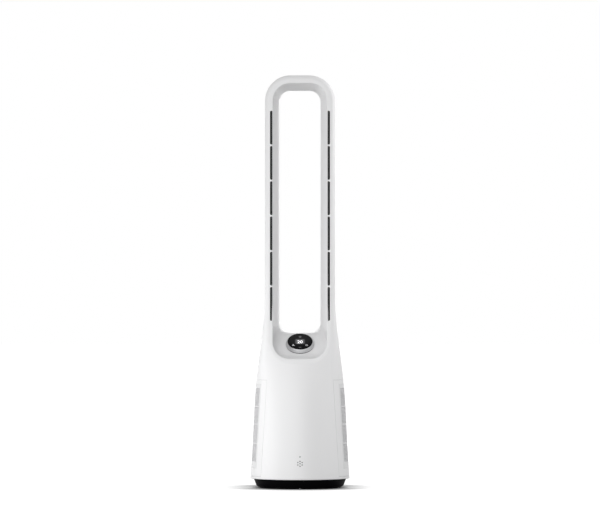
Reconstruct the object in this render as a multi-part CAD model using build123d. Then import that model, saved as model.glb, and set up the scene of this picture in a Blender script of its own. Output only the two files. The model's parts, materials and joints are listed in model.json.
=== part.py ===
"""Bladeless tower fan with a slim loop, side intakes and a swivelling base.

Millimetres, +Z up, the front faces -Y, the origin is on the floor under the
middle of the base. Each piece is written to parts/NODE.step.
"""
from build123d import *
import math
import os

# ---------------------------------------------------------------- whole object
HEIGHT = 950.0            # floor to the top of the loop
RIM_Z = 21.0              # lower edge of the white shells
WALL = 2.4                # moulded wall
SPLIT_Y = 22.0            # plane where the front and rear shells meet
FLANGE_Z = (31.2, 33.6)   # inner flange that stands on the turntable
FLANGE_INNER_R = 94.0
LEDGE_Z = (243.0, 246.8)  # inner ledge that carries the fan deck
LEDGE_INSET = 8.0         # how far the ledge reaches in from the outside
OVERLAP = 0.5             # how far a flange is sunk into its wall

# ---------------------------------------------------------------- loop
LOOP_HALF_WIDTH = 80.6
LOOP_HALF_DEPTH = 50.0
ARCH_CENTRE_X = 21.6      # centre of the round corners at the top
ARCH_CENTRE_Z = HEIGHT - (LOOP_HALF_WIDTH - ARCH_CENTRE_X)
LOOP_FOOT_Z = 432.0       # below this the loop flares into the body
INNER_REAR_X = 47.3       # inner wall, half width at the back edge
INNER_FRONT_X = 62.4      # inner wall, half width at the front edge
STRIP_OUTER_X = 71.3      # outer edge of the flat front strip
FRONT_CURVE_Y = -37.0     # the front rounding ends here
REAR_CURVE_Y = 30.0       # the rear rounding starts here
REAR_FLAT_X = 62.0        # half width of the flat back

# ---------------------------------------------------------------- outlet slots
SLOT_COUNT = 6
SLOT_X = 66.2
SLOT_WIDTH = 5.0
SLOT_BOTTOM_Z = 385.0
SLOT_TOP_Z = 868.0
SLOT_BRIDGE = 3.5         # wall between two slots
SLOT_CUT_Y = (-75.0, -43.0)      # depth of the cut through the shell
NOZZLE_CUT_Y = (-60.0, -20.0)    # depth of the cut through the nozzle
NOZZLE_BACK_Y = -33.0
NOZZLE_RIB = 1.6
NOZZLE_RIB_Y = (-44.5, -38.0)

# ---------------------------------------------------------------- body outline
# height, half width, half depth, roundness (1 is an ellipse, 0 the loop's own outline)
BODY_LEVELS = [
    (RIM_Z, 114.4, 114.0, 1.0),
    (120.0, 108.8, 106.5, 1.0),
    (225.0, 102.8, 93.5, 0.9),
    (294.0, 95.4, 79.0, 0.62),
    (363.0, 86.2, 61.5, 0.25),
    (LOOP_FOOT_Z, LOOP_HALF_WIDTH, LOOP_HALF_DEPTH, 0.0),
]
BODY_SECTIONS = 12
FRONT_CORNER_ANGLES = (58.0, 78.0)   # where the front corner arc starts and ends on the ellipse
REAR_CORNER_ANGLES = (106.0, 140.0)

# ---------------------------------------------------------------- floor of the loop
DIAL_TILT = 38.9          # dial axis from vertical, towards the front
DIAL_FOOT_Y = -12.0
DIAL_FOOT_Z = 329.2
DIAL_FOOT_R = 32.7
GAP_TOP_Z = 470.0         # the lower cut reaches up past the loop's foot
# depth, half width, floor height, corner radius, from the back to the front
GAP_STATIONS = [
    (95.0, INNER_REAR_X, 356.0, 20.0),
    (50.0, INNER_REAR_X, 356.0, 20.0),
    (30.0, 50.32, 355.4, 21.0),
    (13.4, 52.83, 349.7, 24.0),
    (-37.4, 60.5, 308.7, 34.0),
    (-50.0, INNER_FRONT_X, 302.4, 36.0),
    (-62.0, INNER_FRONT_X, 299.0, 37.0),
    (-95.0, INNER_FRONT_X, 298.0, 37.0),
]

# ---------------------------------------------------------------- side covers
COVER_TOP_Z = 249.0
COVER_BOTTOM_Z = 27.0
COVER_TOP_X = 76.0        # the front seam's distance from the centre plane, top and bottom
COVER_BOTTOM_X = 90.0
COVER_GAP = 0.4
GRILLE_TOP_Z = 238.0
GRILLE_BOTTOM_Z = 44.0
GRILLE_TOP_X = 90.0
GRILLE_BOTTOM_X = 99.5
GRILLE_RIB_Z = (189.0, 146.0, 104.0)
GRILLE_HOLES_TOP_Z = 230.0
GRILLE_HOLES_BOTTOM_Z = 60.5
GRILLE_RIB = 4.0
GRILLE_SLOT = 2.6
GRILLE_PITCH = 5.6
GRILLE_SLOTS = 13

# ---------------------------------------------------------------- base and swivel
BASE_BOTTOM_R = 100.5
BASE_TOP_R = 107.0
BASE_BOTTOM_Z = 2.0
DECK_Z = 22.0             # top face of the base
DECK_THICK = 2.5
BASE_COVER_THICK = 2.5
FOOT_HEIGHT = 3.0
FOOT_R = 7.0
FOOT_CIRCLE_R = 84.0
FOOT_COUNT = 5
FIRST_FOOT = 18.0         # angle of the first foot
COVER_SCREW_R = 91.0      # circle of the bottom cover's screws, one between two feet
FIRST_COVER_SCREW = 54.0
WEIGHT_R = (46.0, 78.0)
WEIGHT_Z = (5.5, 13.5)
BUSH_R = (20.0, 23.0)
HUB_R = (14.5, 19.95)
RETAINER_R = 26.0
RETAINER_Z = (13.5, 16.0)
TURNTABLE_Z = (28.0, 31.0)
TURNTABLE_R = 106.0
BALL_CIRCLE_R = 70.0
BALL_R = 2.5
BALL_COUNT = 24
BALL_Z = 25.0
RACE_HALF_WIDTH = 5.0
GEAR_MODULE = 0.8
SWIVEL_TEETH = 72
PINION_TEETH = 18
GEAR_CENTRES = GEAR_MODULE * (SWIVEL_TEETH + PINION_TEETH) / 2
GEAR_Z = (22.0, 26.4)
SWIVEL_MOTOR_R = 25.0
SWIVEL_MOTOR_OFFSET = 10.0

# ---------------------------------------------------------------- mains inlet
INLET_Z = 11.5
INLET_WIDTH = 24.0
INLET_HEIGHT = 13.0
INLET_DEPTH = 20.0
SOCKET_WIDTH = 17.0
SOCKET_HEIGHT = 9.0
SOCKET_DEPTH = 13.0
PIN_R = 1.2
PIN_PITCH = 8.6

# ---------------------------------------------------------------- fan
FAN_DECK_Z = (247.0, 250.0)
DAMPER_COUNT = 4
DAMPER_CIRCLE_R = 53.0
FIRST_DAMPER = 45.0
WIRE_HOLE = (-30.0, -50.0)       # where the display's lead passes the deck
WIRE_HOLE_R = 4.0
HOUSING_R = (47.0, 49.0)
HOUSING_Z = (130.0, 244.0)
BELL_Z = (116.0, 130.0)
BELL_THROAT_R = 44.0
IMPELLER_Z = (137.0, 182.0)
IMPELLER_R = 46.0
IMPELLER_HUB_R = (13.0, 26.5)
BLADES = 9
BLADE_THICK = 1.8
BLADE_TWIST = 55.0
DIFFUSER_HUB_R = (25.2, 27.2)
DIFFUSER_Z = (186.0, 240.0)
DIFFUSER_VANES = 11
SHAFT_R = 4.0
BEARING_R = 11.0
BEARING_Z = (191.0, 214.0)
BEARING_LENGTH = 7.0
BRACKET_Z = (226.0, 229.0)
STATOR_R = 17.2
STATOR_Z = (196.0, 214.0)
MAGNET_R = (17.8, 19.8)
ROTOR_R = 21.2
STATOR_TEETH = 9

# ---------------------------------------------------------------- intake
FRAME_X = (51.0, 53.5)
FRAME_HALF_Y = 58.0
FILTER_X = (54.2, 75.0)
FILTER_HALF_Y = 48.0
FILTER_Z = (46.0, 238.0)
PLEATS = 16
PLEAT_SHEET = 0.9
TONGUE_Y = 53.0           # snap tongues near the top of each cover
TONGUE_Z = 226.0
TONGUE_HALF = (3.0, 2.0)  # half width and half height
TONGUE_X = 66.0           # inner end of a tongue
ARM_X = 77.0              # outer end of the arm that takes it

# ---------------------------------------------------------------- dial, along its own axis
DIAL_GLASS_R = 28.75
DIAL_TOP = 9.8
RING_TOP_R = 29.8
RING_FOOT = 1.6
SEAT_R = 37.0
SEAT_HOLE_R = 26.4
POST_R = 25.8
CUP_DEPTH = 14.0
DIAL_KEYS = [(0.0, 17.0), (-17.0, -8.5), (15.0, -8.5)]   # places of the three icons' lamps

# ---------------------------------------------------------------- main board
BOARD_Z = 40.0
BOARD_THICK = 1.6
BOARD_HOLE_X = 38.0
BOARD_HOLE_Y = (-79.0, -40.0)
PLUG_TOP_Z = 47.0         # top of the board's connectors, where the leads start
POWER_PLUG = (0.0, -39.5)
MOTOR_PLUG = (30.0, -49.0)
DISPLAY_PLUG = (-30.0, -49.0)
LEAD_R = 1.6
MAINS_LEAD_R = 2.4

# ---------------------------------------------------------------- sensors behind the front
SENSOR_HOLE_R = 1.2
LIGHT_SENSOR_Z = 74.2
AIR_SENSOR_Z = 58.5
SENSOR_RING_R = 5.6       # six holes round the air sensor's middle one

# ---------------------------------------------------------------- small screws
SCREW_R = 1.2
SCREW_LENGTH = 6.0
SHELL_SCREW_CIRCLE_R = 99.5
SHELL_SCREW_ANGLES = (-32, 0, 32, 148, 180, 212)
RETAINER_SCREW_R = 17.2
BRACKET_SCREW_R = 21.5
FRAME_SCREW_X = FRAME_X[1] + 8
FRAME_SCREW_Y = 30.0
MOTOR_EAR_X = 30.0

MIN = (Align.CENTER, Align.CENTER, Align.MIN)


# ================================================================ helpers
def block(x0, x1, y0, y1, z0, z1):
    """A box between two corners."""
    size = Box(x1 - x0, y1 - y0, z1 - z0)
    return Pos((x0 + x1) / 2, (y0 + y1) / 2, (z0 + z1) / 2) * size


def disc(radius, z0, z1):
    return Pos(0, 0, z0) * Cylinder(radius, z1 - z0, align=MIN)


def ring(outer, inner, z0, z1):
    return disc(outer, z0, z1) - disc(inner, z0 - 1, z1 + 1)


def turned(points):
    """A solid of revolution about Z from (radius, height) points."""
    face = make_face(Polyline([(r, 0, z) for r, z in points], close=True))
    return revolve(face, Axis.Z, 360)


def around(count, radius, first=0.0):
    """Locations spaced evenly on a circle about Z."""
    return [Rot(0, 0, first + 360 * i / count) * Pos(radius, 0, 0) for i in range(count)]


def group(pieces):
    """Several separate solids in one node."""
    solids = []
    for piece in pieces:
        solids.extend(piece.solids())
    return Compound(children=solids)


def screw(x, y, seat_z, length=SCREW_LENGTH, radius=SCREW_R, up=True):
    """A pan-head screw seated at a height; its thread points up from the head, or down."""
    way = 1 if up else -1
    head = Pos(x, y, seat_z - way * 0.9) * Cylinder(radius * 1.9, 1.8)
    shank = Pos(x, y, seat_z + way * length / 2) * Cylinder(radius, length)
    return head + shank


def pipe(points, radius, bends):
    """A lead along straight runs joined by tangent arcs."""
    path = FilletPolyline(points, radius=bends)
    profile = Plane(origin=path @ 0, z_dir=path % 0) * Circle(radius)
    solid = sweep(profile, path=path)
    print("lead", round(path.length, 1), "mm, volume", round(solid.volume, 1),
          "of", round(math.pi * radius ** 2 * path.length, 1))
    return solid


def mirrored(piece):
    return mirror(piece, about=Plane.YZ)


# ================================================================ outer form
def level(z):
    """Half width, half depth and roundness of the body at a height, by a smooth curve."""
    rows = BODY_LEVELS
    k = 0
    while k < len(rows) - 2 and z > rows[k + 1][0]:
        k += 1
    low, high = rows[k], rows[k + 1]
    step = high[0] - low[0]
    t = (z - low[0]) / step
    out = []
    for c in (1, 2, 3):
        chord = (high[c] - low[c]) / step
        before = (low[c] - rows[k - 1][c]) / (low[0] - rows[k - 1][0]) if k else chord
        last = k == len(rows) - 2
        after = -chord if last else (rows[k + 2][c] - high[c]) / (rows[k + 2][0] - high[0])
        start = (chord + before) / 2
        end = (chord + after) / 2
        out.append(low[c] * (1 + 2 * t) * (1 - t) ** 2 + step * start * t * (1 - t) ** 2
                   + high[c] * t * t * (3 - 2 * t) + step * end * t * t * (t - 1))
    return out


def loop_outline():
    """Right half of the loop's outline as corner and middle points, from front to back."""
    w, d = LOOP_HALF_WIDTH, LOOP_HALF_DEPTH
    run = w - STRIP_OUTER_X
    drop = d + FRONT_CURVE_Y
    front_r = (run ** 2 + drop ** 2) / (2 * run)
    lean = math.atan2(drop, front_r - run) / 2
    front_mid = (w - front_r + front_r * math.cos(lean), FRONT_CURVE_Y - front_r * math.sin(lean))
    run = w - REAR_FLAT_X
    drop = d - REAR_CURVE_Y
    rear_r = (run ** 2 + drop ** 2) / (2 * run)
    lean = math.atan2(drop, rear_r - run) / 2
    rear_mid = (w - rear_r + rear_r * math.cos(lean), REAR_CURVE_Y + rear_r * math.sin(lean))
    side_mid = (w, (FRONT_CURVE_Y + REAR_CURVE_Y) / 2)
    return [(0, -d), (STRIP_OUTER_X, -d), front_mid, (w, FRONT_CURVE_Y), side_mid,
            (w, REAR_CURVE_Y), rear_mid, (REAR_FLAT_X, d), (0, d)]


def round_outline():
    """The same nine points on a unit ellipse."""
    a, b = FRONT_CORNER_ANGLES
    c, e = REAR_CORNER_ANGLES
    angles = [0, a, (a + b) / 2, b, (b + c) / 2, c, (c + e) / 2, e, 180]
    return [(math.sin(math.radians(t)), -math.cos(math.radians(t))) for t in angles]


def body_section(z, inset=0.0):
    """Closed outline of the body at a height, drawn in by an inset."""
    w, d, k = level(z)
    points = []
    for (lx, ly), (ex, ey) in zip(loop_outline(), round_outline()):
        x = (lx / LOOP_HALF_WIDTH) * (1 - k) + ex * k
        y = (ly / LOOP_HALF_DEPTH) * (1 - k) + ey * k
        points.append((x * (w - inset), y * (d - inset)))
    left = [(-x, y) for x, y in points]
    turn = points + left[-2:0:-1]
    edges = []
    for i in range(1, len(turn), 2):
        a, m, b = turn[i], turn[(i + 1) % len(turn)], turn[(i + 2) % len(turn)]
        bulge = (b[0] - a[0]) * (m[1] - a[1]) - (b[1] - a[1]) * (m[0] - a[0])
        if abs(bulge) < 1e-6:
            edges.append(Line((*a, z), (*b, z)))
        else:
            edges.append(ThreePointArc((*a, z), (*m, z), (*b, z)))
    return Wire(edges)


def body_solid(inset=0.0, bottom=RIM_Z):
    """The flaring body from the rim to the loop's foot."""
    count = BODY_SECTIONS
    heights = [bottom + (LOOP_FOOT_Z - bottom) * i / (count - 1) for i in range(count)]
    wires = [body_section(z, inset) for z in heights]
    return Solid.make_loft(wires)


def gap_solid(grow=0.0):
    """What the loop's lower opening takes away, from the back to the front."""
    wires = []
    for y, half, floor, corner in GAP_STATIONS:
        x = half + grow
        z = floor - grow
        r = corner + grow
        c = r * (1 - math.cos(math.radians(45)))
        edges = [
            Line((-x + r, y, z), (x - r, y, z)),
            ThreePointArc((x - r, y, z), (x - c, y, z + c), (x, y, z + r)),
            Line((x, y, z + r), (x, y, GAP_TOP_Z)),
            Line((x, y, GAP_TOP_Z), (-x, y, GAP_TOP_Z)),
            Line((-x, y, GAP_TOP_Z), (-x, y, z + r)),
            ThreePointArc((-x, y, z + r), (-x + c, y, z + c), (-x + r, y, z)),
        ]
        wires.append(Wire(edges))
    return Solid.make_loft(wires, ruled=True)


def limb_face(inset=0.0):
    """Section of the loop's right limb, in the XY plane."""
    _, crease, front_mid, front_end, _, rear_start, rear_mid, rear_end, _ = loop_outline()
    edges = [
        Line((INNER_REAR_X, LOOP_HALF_DEPTH), (INNER_FRONT_X, -LOOP_HALF_DEPTH)),
        Line((INNER_FRONT_X, -LOOP_HALF_DEPTH), crease),
        ThreePointArc(crease, front_mid, front_end),
        Line(front_end, rear_start),
        ThreePointArc(rear_start, rear_mid, rear_end),
        Line(rear_end, (INNER_REAR_X, LOOP_HALF_DEPTH)),
    ]
    face = make_face(edges)
    return offset(face, amount=-inset, kind=Kind.INTERSECTION) if inset else face


def loop_solid(inset=0.0, bottom=LOOP_FOOT_Z):
    """The loop: two straight limbs, two round corners and a short straight top."""
    face = limb_face(inset)
    limb = extrude(Pos(0, 0, bottom) * face, amount=ARCH_CENTRE_Z - bottom, dir=(0, 0, 1))
    axis = Axis((ARCH_CENTRE_X, 0, ARCH_CENTRE_Z), (0, -1, 0))
    corner = revolve(Pos(0, 0, ARCH_CENTRE_Z) * face, axis, 90)
    turn = Pos(ARCH_CENTRE_X, 0, ARCH_CENTRE_Z) * Rot(0, -90, 0) * Pos(-ARCH_CENTRE_X, 0, 0)
    top = extrude(turn * face, amount=2 * ARCH_CENTRE_X, dir=(-1, 0, 0))
    side = limb + corner
    return side + top + mirrored(side)


def seam_wedge(top_x, bottom_x, top_z, bottom_z, draw=0.0):
    """Everything on the right of a leaning seam, between two heights."""
    lean = (bottom_x - top_x) / (top_z - bottom_z)
    far = 160
    points = [
        (top_x + lean * draw + draw, 0, top_z - draw),
        (far, 0, top_z - draw),
        (far, 0, bottom_z + draw),
        (bottom_x + draw, 0, bottom_z + draw),
    ]
    face = make_face(Polyline(points, close=True))
    return extrude(face, amount=130, both=True, dir=(0, 1, 0))


# ================================================================ shells
def slot_centres():
    pitch = (SLOT_TOP_Z - SLOT_BOTTOM_Z + SLOT_BRIDGE) / SLOT_COUNT
    first = SLOT_BOTTOM_Z + (pitch - SLOT_BRIDGE) / 2
    return [first + pitch * i for i in range(SLOT_COUNT)], pitch - SLOT_BRIDGE


def slot_cut(x, z, length, y0, y1):
    body = block(x - SLOT_WIDTH / 2, x + SLOT_WIDTH / 2, y0, y1,
                 z - length / 2 + SLOT_WIDTH / 2, z + length / 2 - SLOT_WIDTH / 2)
    for end in (-1, 1):
        place = Pos(x, (y0 + y1) / 2, z + end * (length - SLOT_WIDTH) / 2)
        body += place * Rot(90, 0, 0) * Cylinder(SLOT_WIDTH / 2, y1 - y0)
    return body


def dial_plane(along=0.0):
    tilt = math.radians(DIAL_TILT)
    normal = (0, -math.sin(tilt), math.cos(tilt))
    foot = (0, DIAL_FOOT_Y, DIAL_FOOT_Z)
    origin = tuple(f + along * n for f, n in zip(foot, normal))
    return Plane(origin=origin, x_dir=(1, 0, 0), z_dir=normal)


def on_dial(piece):
    return dial_plane() * piece


def section_plate(z0, z1, inset):
    """A plate that fills the body's section, drawn in by an inset."""
    face = make_face(body_section((z0 + z1) / 2, inset))
    return extrude(Pos(0, 0, -(z1 - z0) / 2) * face, amount=z1 - z0, dir=(0, 0, 1))


def whole_shell():
    outer = (body_solid() - gap_solid()) + loop_solid()
    inner = (body_solid(WALL, RIM_Z - 4) - gap_solid(WALL)) + loop_solid(WALL, LOOP_FOOT_Z - 6)
    shell = outer - inner
    flange = section_plate(*FLANGE_Z, WALL - OVERLAP) - disc(FLANGE_INNER_R, 25, 40)
    ledge = section_plate(*LEDGE_Z, WALL - OVERLAP)
    ledge -= section_plate(LEDGE_Z[0] - 2, LEDGE_Z[1] + 2.2, LEDGE_INSET)
    return shell + flange + ledge


def shell_screw_places():
    radius = SHELL_SCREW_CIRCLE_R
    return [(radius * math.sin(math.radians(a)), -radius * math.cos(math.radians(a)))
            for a in SHELL_SCREW_ANGLES]


def side_windows(draw=0.0):
    right = seam_wedge(COVER_TOP_X, COVER_BOTTOM_X, COVER_TOP_Z, COVER_BOTTOM_Z, draw)
    return right, mirrored(right)


def sensor_hole_places():
    places = [(0.0, LIGHT_SENSOR_Z), (0.0, AIR_SENSOR_Z)]
    for i in range(6):
        angle = math.radians(90 + 60 * i)
        x = SENSOR_RING_R * math.cos(angle)
        z = AIR_SENSOR_Z + SENSOR_RING_R * math.sin(angle)
        places.append((x, z))
    return places


def shells():
    shell = whole_shell()
    for window in side_windows():
        shell -= window
    front = shell & block(-150, 150, -150, SPLIT_Y, 0, HEIGHT + 10)
    rear = shell & block(-150, 150, SPLIT_Y, 150, 0, HEIGHT + 10)
    centres, length = slot_centres()
    cuts = []
    for z in centres:
        for side in (-1, 1):
            cuts.append(slot_cut(side * SLOT_X, z, length, *SLOT_CUT_Y))
    for x, z in sensor_hole_places():
        cuts.append(Pos(x, -112, z) * Rot(90, 0, 0) * Cylinder(SENSOR_HOLE_R, 20))
    front -= cuts
    seat = on_dial(disc(SEAT_R, -4.0, 0.0)) & (body_solid() - gap_solid())
    front += seat
    front -= on_dial(disc(DIAL_FOOT_R + 0.5, 0.0, 30.0))
    front -= on_dial(disc(SEAT_HOLE_R, -12.0, 5.0))
    for x, y in shell_screw_places():
        hole = Pos(x, y, 32) * Cylinder(1.2, 8)
        front -= hole
        rear -= hole
    return front, rear


def nozzle_right():
    """Black insert that fills the nose of the right limb behind the slots."""
    face = limb_face(WALL + 0.2)
    nose = extrude(Pos(0, 0, SLOT_BOTTOM_Z - 6) * face,
                   amount=SLOT_TOP_Z - SLOT_BOTTOM_Z + 12, dir=(0, 0, 1))
    nose &= block(50, 100, -60, NOZZLE_BACK_Y, 300, 900)
    flare = body_solid(WALL + 0.3) - gap_solid(WALL + 0.3)
    nose &= flare + block(50, 100, -60, 0, LOOP_FOOT_Z, 900)
    centres, length = slot_centres()
    for z in centres:
        nose -= slot_cut(SLOT_X, z, length, *NOZZLE_CUT_Y)
        nose += block(SLOT_X - SLOT_WIDTH / 2 + 0.6, SLOT_X + SLOT_WIDTH / 2 + 0.6, *NOZZLE_RIB_Y,
                      z - NOZZLE_RIB / 2, z + NOZZLE_RIB / 2)
    return nose


# ================================================================ side covers
def cover_wall():
    return body_solid() - body_solid(WALL, RIM_Z - 4)


def cover_right(wall):
    wedge, _ = side_windows(COVER_GAP)
    cover = wall & wedge
    window = seam_wedge(GRILLE_TOP_X, GRILLE_BOTTOM_X, GRILLE_TOP_Z, GRILLE_BOTTOM_Z)
    cover -= window
    half_y, half_z = TONGUE_HALF
    inside = body_solid(1.0)
    for side in (-1, 1):
        y = side * TONGUE_Y
        tongue = block(TONGUE_X, 95.0, y - half_y, y + half_y, TONGUE_Z - half_z, TONGUE_Z + half_z)
        cover += tongue & inside
    return cover


def grille_right(wall_outer, wall_inner):
    """Perforated panel in the cover's window, with three cross ribs."""
    panel = wall_outer - wall_inner
    draw = 0.25
    panel &= seam_wedge(GRILLE_TOP_X, GRILLE_BOTTOM_X, GRILLE_TOP_Z, GRILLE_BOTTOM_Z, draw)
    edges = [GRILLE_HOLES_TOP_Z, *GRILLE_RIB_Z, GRILLE_HOLES_BOTTOM_Z]
    cuts = []
    for high, low in zip(edges, edges[1:]):
        top = high - (GRILLE_RIB / 2 if high != GRILLE_HOLES_TOP_Z else 0)
        bottom = low + (GRILLE_RIB / 2 if low != GRILLE_HOLES_BOTTOM_Z else 0)
        for i in range(GRILLE_SLOTS):
            y = (i - (GRILLE_SLOTS - 1) / 2) * GRILLE_PITCH
            cuts.append(block(80, 130, y - GRILLE_SLOT / 2, y + GRILLE_SLOT / 2, bottom, top))
    return panel - cuts


def filter_frame_right():
    frame = block(*FILTER_X, -FILTER_HALF_Y, FILTER_HALF_Y, *FILTER_Z)
    edge = 4.0
    frame -= block(FILTER_X[0] - 1, FILTER_X[1] + 1, -FILTER_HALF_Y + edge, FILTER_HALF_Y - edge,
                   FILTER_Z[0] + edge, FILTER_Z[1] - edge)
    for z in (FILTER_Z[0] + 64, FILTER_Z[1] - 64):
        frame += block(FILTER_X[1] - 1.5, FILTER_X[1], -FILTER_HALF_Y + 1, FILTER_HALF_Y - 1,
                       z - 1.5, z + 1.5)
    return frame


def filter_media_right():
    """A pleated sheet between the frame's edges."""
    edge = 4.3
    half = FILTER_HALF_Y - edge
    step = 2 * half / (2 * PLEATS)
    x_in = FILTER_X[0] + 1.0
    x_out = FILTER_X[1] - 3.0
    front, back = [], []
    for i in range(2 * PLEATS + 1):
        x = x_in if i % 2 else x_out - PLEAT_SHEET
        front.append((x, -half + step * i))
        back.append((x + PLEAT_SHEET, -half + step * i))
    face = make_face(Polyline(front + back[::-1], close=True))
    return extrude(Pos(0, 0, FILTER_Z[0] + edge) * face,
                   amount=FILTER_Z[1] - FILTER_Z[0] - 2 * edge, dir=(0, 0, 1))


def intake_frame_right():
    """Upright frame from the turntable to the fan deck that holds the filter."""
    top = FAN_DECK_Z[0]
    bottom = TURNTABLE_Z[1]
    frame = block(*FRAME_X, -FRAME_HALF_Y, FRAME_HALF_Y, bottom, top)
    frame -= block(40, 60, -42, 42, FILTER_Z[0] + 6, FILTER_Z[1] - 6)
    foot = block(FRAME_X[1] - 1, FRAME_X[1] + 14, -40, 40, bottom, bottom + 3)
    shelf = block(FRAME_X[1] - 1, FILTER_X[1], -46, 46, FILTER_Z[0] - 3.2, FILTER_Z[0] - 0.3)
    frame += foot + shelf
    half_y, half_z = TONGUE_HALF
    for side in (-1, 1):
        y = side * TONGUE_Y
        arm = block(FRAME_X[1] - 1, ARM_X, y - 4.7, y + 4.7, TONGUE_Z - 5, TONGUE_Z + 5)
        arm -= block(TONGUE_X - 2, ARM_X + 1, y - half_y - 0.4, y + half_y + 0.4,
                     TONGUE_Z - half_z - 0.4, TONGUE_Z + half_z + 0.4)
        frame += arm
        frame -= Pos(FRAME_SCREW_X, side * FRAME_SCREW_Y, bottom + 1.5) * Cylinder(SCREW_R + 0.1, 8)
    return frame


# ================================================================ base
def base_shell():
    top_r = BASE_TOP_R
    slope = (BASE_TOP_R - BASE_BOTTOM_R) / (DECK_Z - 1 - BASE_BOTTOM_Z)
    outer = turned([(0, BASE_BOTTOM_Z), (BASE_BOTTOM_R - 1.5, BASE_BOTTOM_Z),
                    (BASE_BOTTOM_R, BASE_BOTTOM_Z + 2.0), (top_r, DECK_Z - 1),
                    (top_r - 1, DECK_Z), (0, DECK_Z)])
    roof = DECK_Z - DECK_THICK
    inner = turned([(0, 0), (BASE_BOTTOM_R - 3, 0), (BASE_BOTTOM_R - 3, BASE_BOTTOM_Z + 2.0),
                    (BASE_BOTTOM_R - 3 + slope * 13, roof), (0, roof)])
    shell = outer - inner - disc(BUSH_R[1], 10, 30)
    for place in around(FOOT_COUNT, COVER_SCREW_R, FIRST_COVER_SCREW):
        post = place * Pos(0, 0, BASE_BOTTOM_Z + BASE_COVER_THICK) * (
            Cylinder(3.2, roof - BASE_BOTTOM_Z - BASE_COVER_THICK + 0.5, align=MIN)
            - Cylinder(1.3, 9.0, align=MIN))
        shell += post
    y = BASE_BOTTOM_R + 8
    shell -= block(-INLET_WIDTH / 2, INLET_WIDTH / 2, 70, y,
                   INLET_Z - INLET_HEIGHT / 2, INLET_Z + INLET_HEIGHT / 2)
    return shell


def base_bottom_cover():
    radius = BASE_BOTTOM_R - 3.3
    plate = disc(radius, BASE_BOTTOM_Z, BASE_BOTTOM_Z + BASE_COVER_THICK)
    for place in around(FOOT_COUNT, FOOT_CIRCLE_R, FIRST_FOOT):
        plate -= place * disc(FOOT_R, 0, BASE_BOTTOM_Z + 1.0)
    for place in around(FOOT_COUNT, COVER_SCREW_R, FIRST_COVER_SCREW):
        plate -= place * disc(1.7, 0, 10)
        plate -= place * disc(3.4, 0, BASE_BOTTOM_Z + 1.2)
    return plate


def rubber_feet():
    feet = []
    for place in around(FOOT_COUNT, FOOT_CIRCLE_R, FIRST_FOOT):
        foot = disc(FOOT_R - 0.2, 0, FOOT_HEIGHT)
        feet.append(place * chamfer(foot.edges().sort_by(Axis.Z)[0], 0.8))
    return group(feet)


def base_screws():
    z = BASE_BOTTOM_Z + 1.2
    places = around(FOOT_COUNT, COVER_SCREW_R, FIRST_COVER_SCREW)
    return group([place * screw(0, 0, z, 9.0, 1.3) for place in places])


def base_weight():
    weight = ring(WEIGHT_R[1], WEIGHT_R[0], *WEIGHT_Z)
    return weight - block(-7, 7, 30, 100, 0, 20)


def mains_inlet():
    """Two-pin inlet in the back of the base, with its mouth at the slope."""
    back = BASE_BOTTOM_R + 2.2
    body = block(-INLET_WIDTH / 2 + 0.2, INLET_WIDTH / 2 - 0.2, back - INLET_DEPTH, back,
                 INLET_Z - INLET_HEIGHT / 2 + 0.2, INLET_Z + INLET_HEIGHT / 2 - 0.2)
    mouth = Pos(0, back, INLET_Z) * Rot(90, 0, 0) * extrude(
        SlotOverall(SOCKET_WIDTH, SOCKET_HEIGHT), amount=SOCKET_DEPTH, both=True)
    body -= mouth & block(-20, 20, back - SOCKET_DEPTH, back + 9, 0, 30)
    for side in (-1, 1):
        pin = Pos(side * PIN_PITCH / 2, back - SOCKET_DEPTH + 5, INLET_Z) * Rot(90, 0, 0)
        body += pin * Cylinder(PIN_R, 11.0)
    return body


def pivot_bush():
    return ring(BUSH_R[1], BUSH_R[0], DECK_Z - DECK_THICK, DECK_Z) + ring(
        25.0, BUSH_R[0], DECK_Z, DECK_Z + 1.0)


def race(z0, z1):
    channel = revolve(Pos(BALL_CIRCLE_R, 0, BALL_Z) * Rot(90, 0, 0) * Circle(BALL_R + 0.1), Axis.Z, 360)
    return ring(BALL_CIRCLE_R + RACE_HALF_WIDTH, BALL_CIRCLE_R - RACE_HALF_WIDTH, z0, z1) - channel


def bearing_balls():
    return group([p * Pos(0, 0, BALL_Z) * Sphere(BALL_R) for p in around(BALL_COUNT, BALL_CIRCLE_R)])


def bearing_cage():
    cage = ring(BALL_CIRCLE_R + 4.5, BALL_CIRCLE_R - 4.5, BALL_Z - 0.6, BALL_Z + 0.6)
    holes = [p * Pos(0, 0, BALL_Z) * Cylinder(BALL_R + 0.15, 4) for p in around(BALL_COUNT, BALL_CIRCLE_R)]
    return cage - holes


# ================================================================ gears
def gear_face(teeth, module, thin):
    """Involute outline; thin is taken off each flank at the pitch circle."""
    pressure = math.radians(20)
    pitch_r = module * teeth / 2
    base_r = pitch_r * math.cos(pressure)
    root_r = pitch_r - 1.2 * module
    tip_r = pitch_r + 0.9 * module
    half = math.pi / (2 * teeth) - thin / pitch_r + math.tan(pressure) - pressure
    flank = []
    start_r = max(root_r, base_r)
    for i in range(5):
        r = start_r + (tip_r - start_r) * i / 4
        roll = math.sqrt(max((r / base_r) ** 2 - 1, 0))
        flank.append((r, half - (roll - math.atan(roll))))
    if root_r < base_r:
        flank.insert(0, (root_r, flank[0][1]))
    points = []
    for t in range(teeth):
        middle = 2 * math.pi * t / teeth
        for r, a in flank:
            points.append((r * math.cos(middle - a), r * math.sin(middle - a)))
        for r, a in reversed(flank):
            points.append((r * math.cos(middle + a), r * math.sin(middle + a)))
    return make_face(Polyline(points, close=True))


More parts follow.
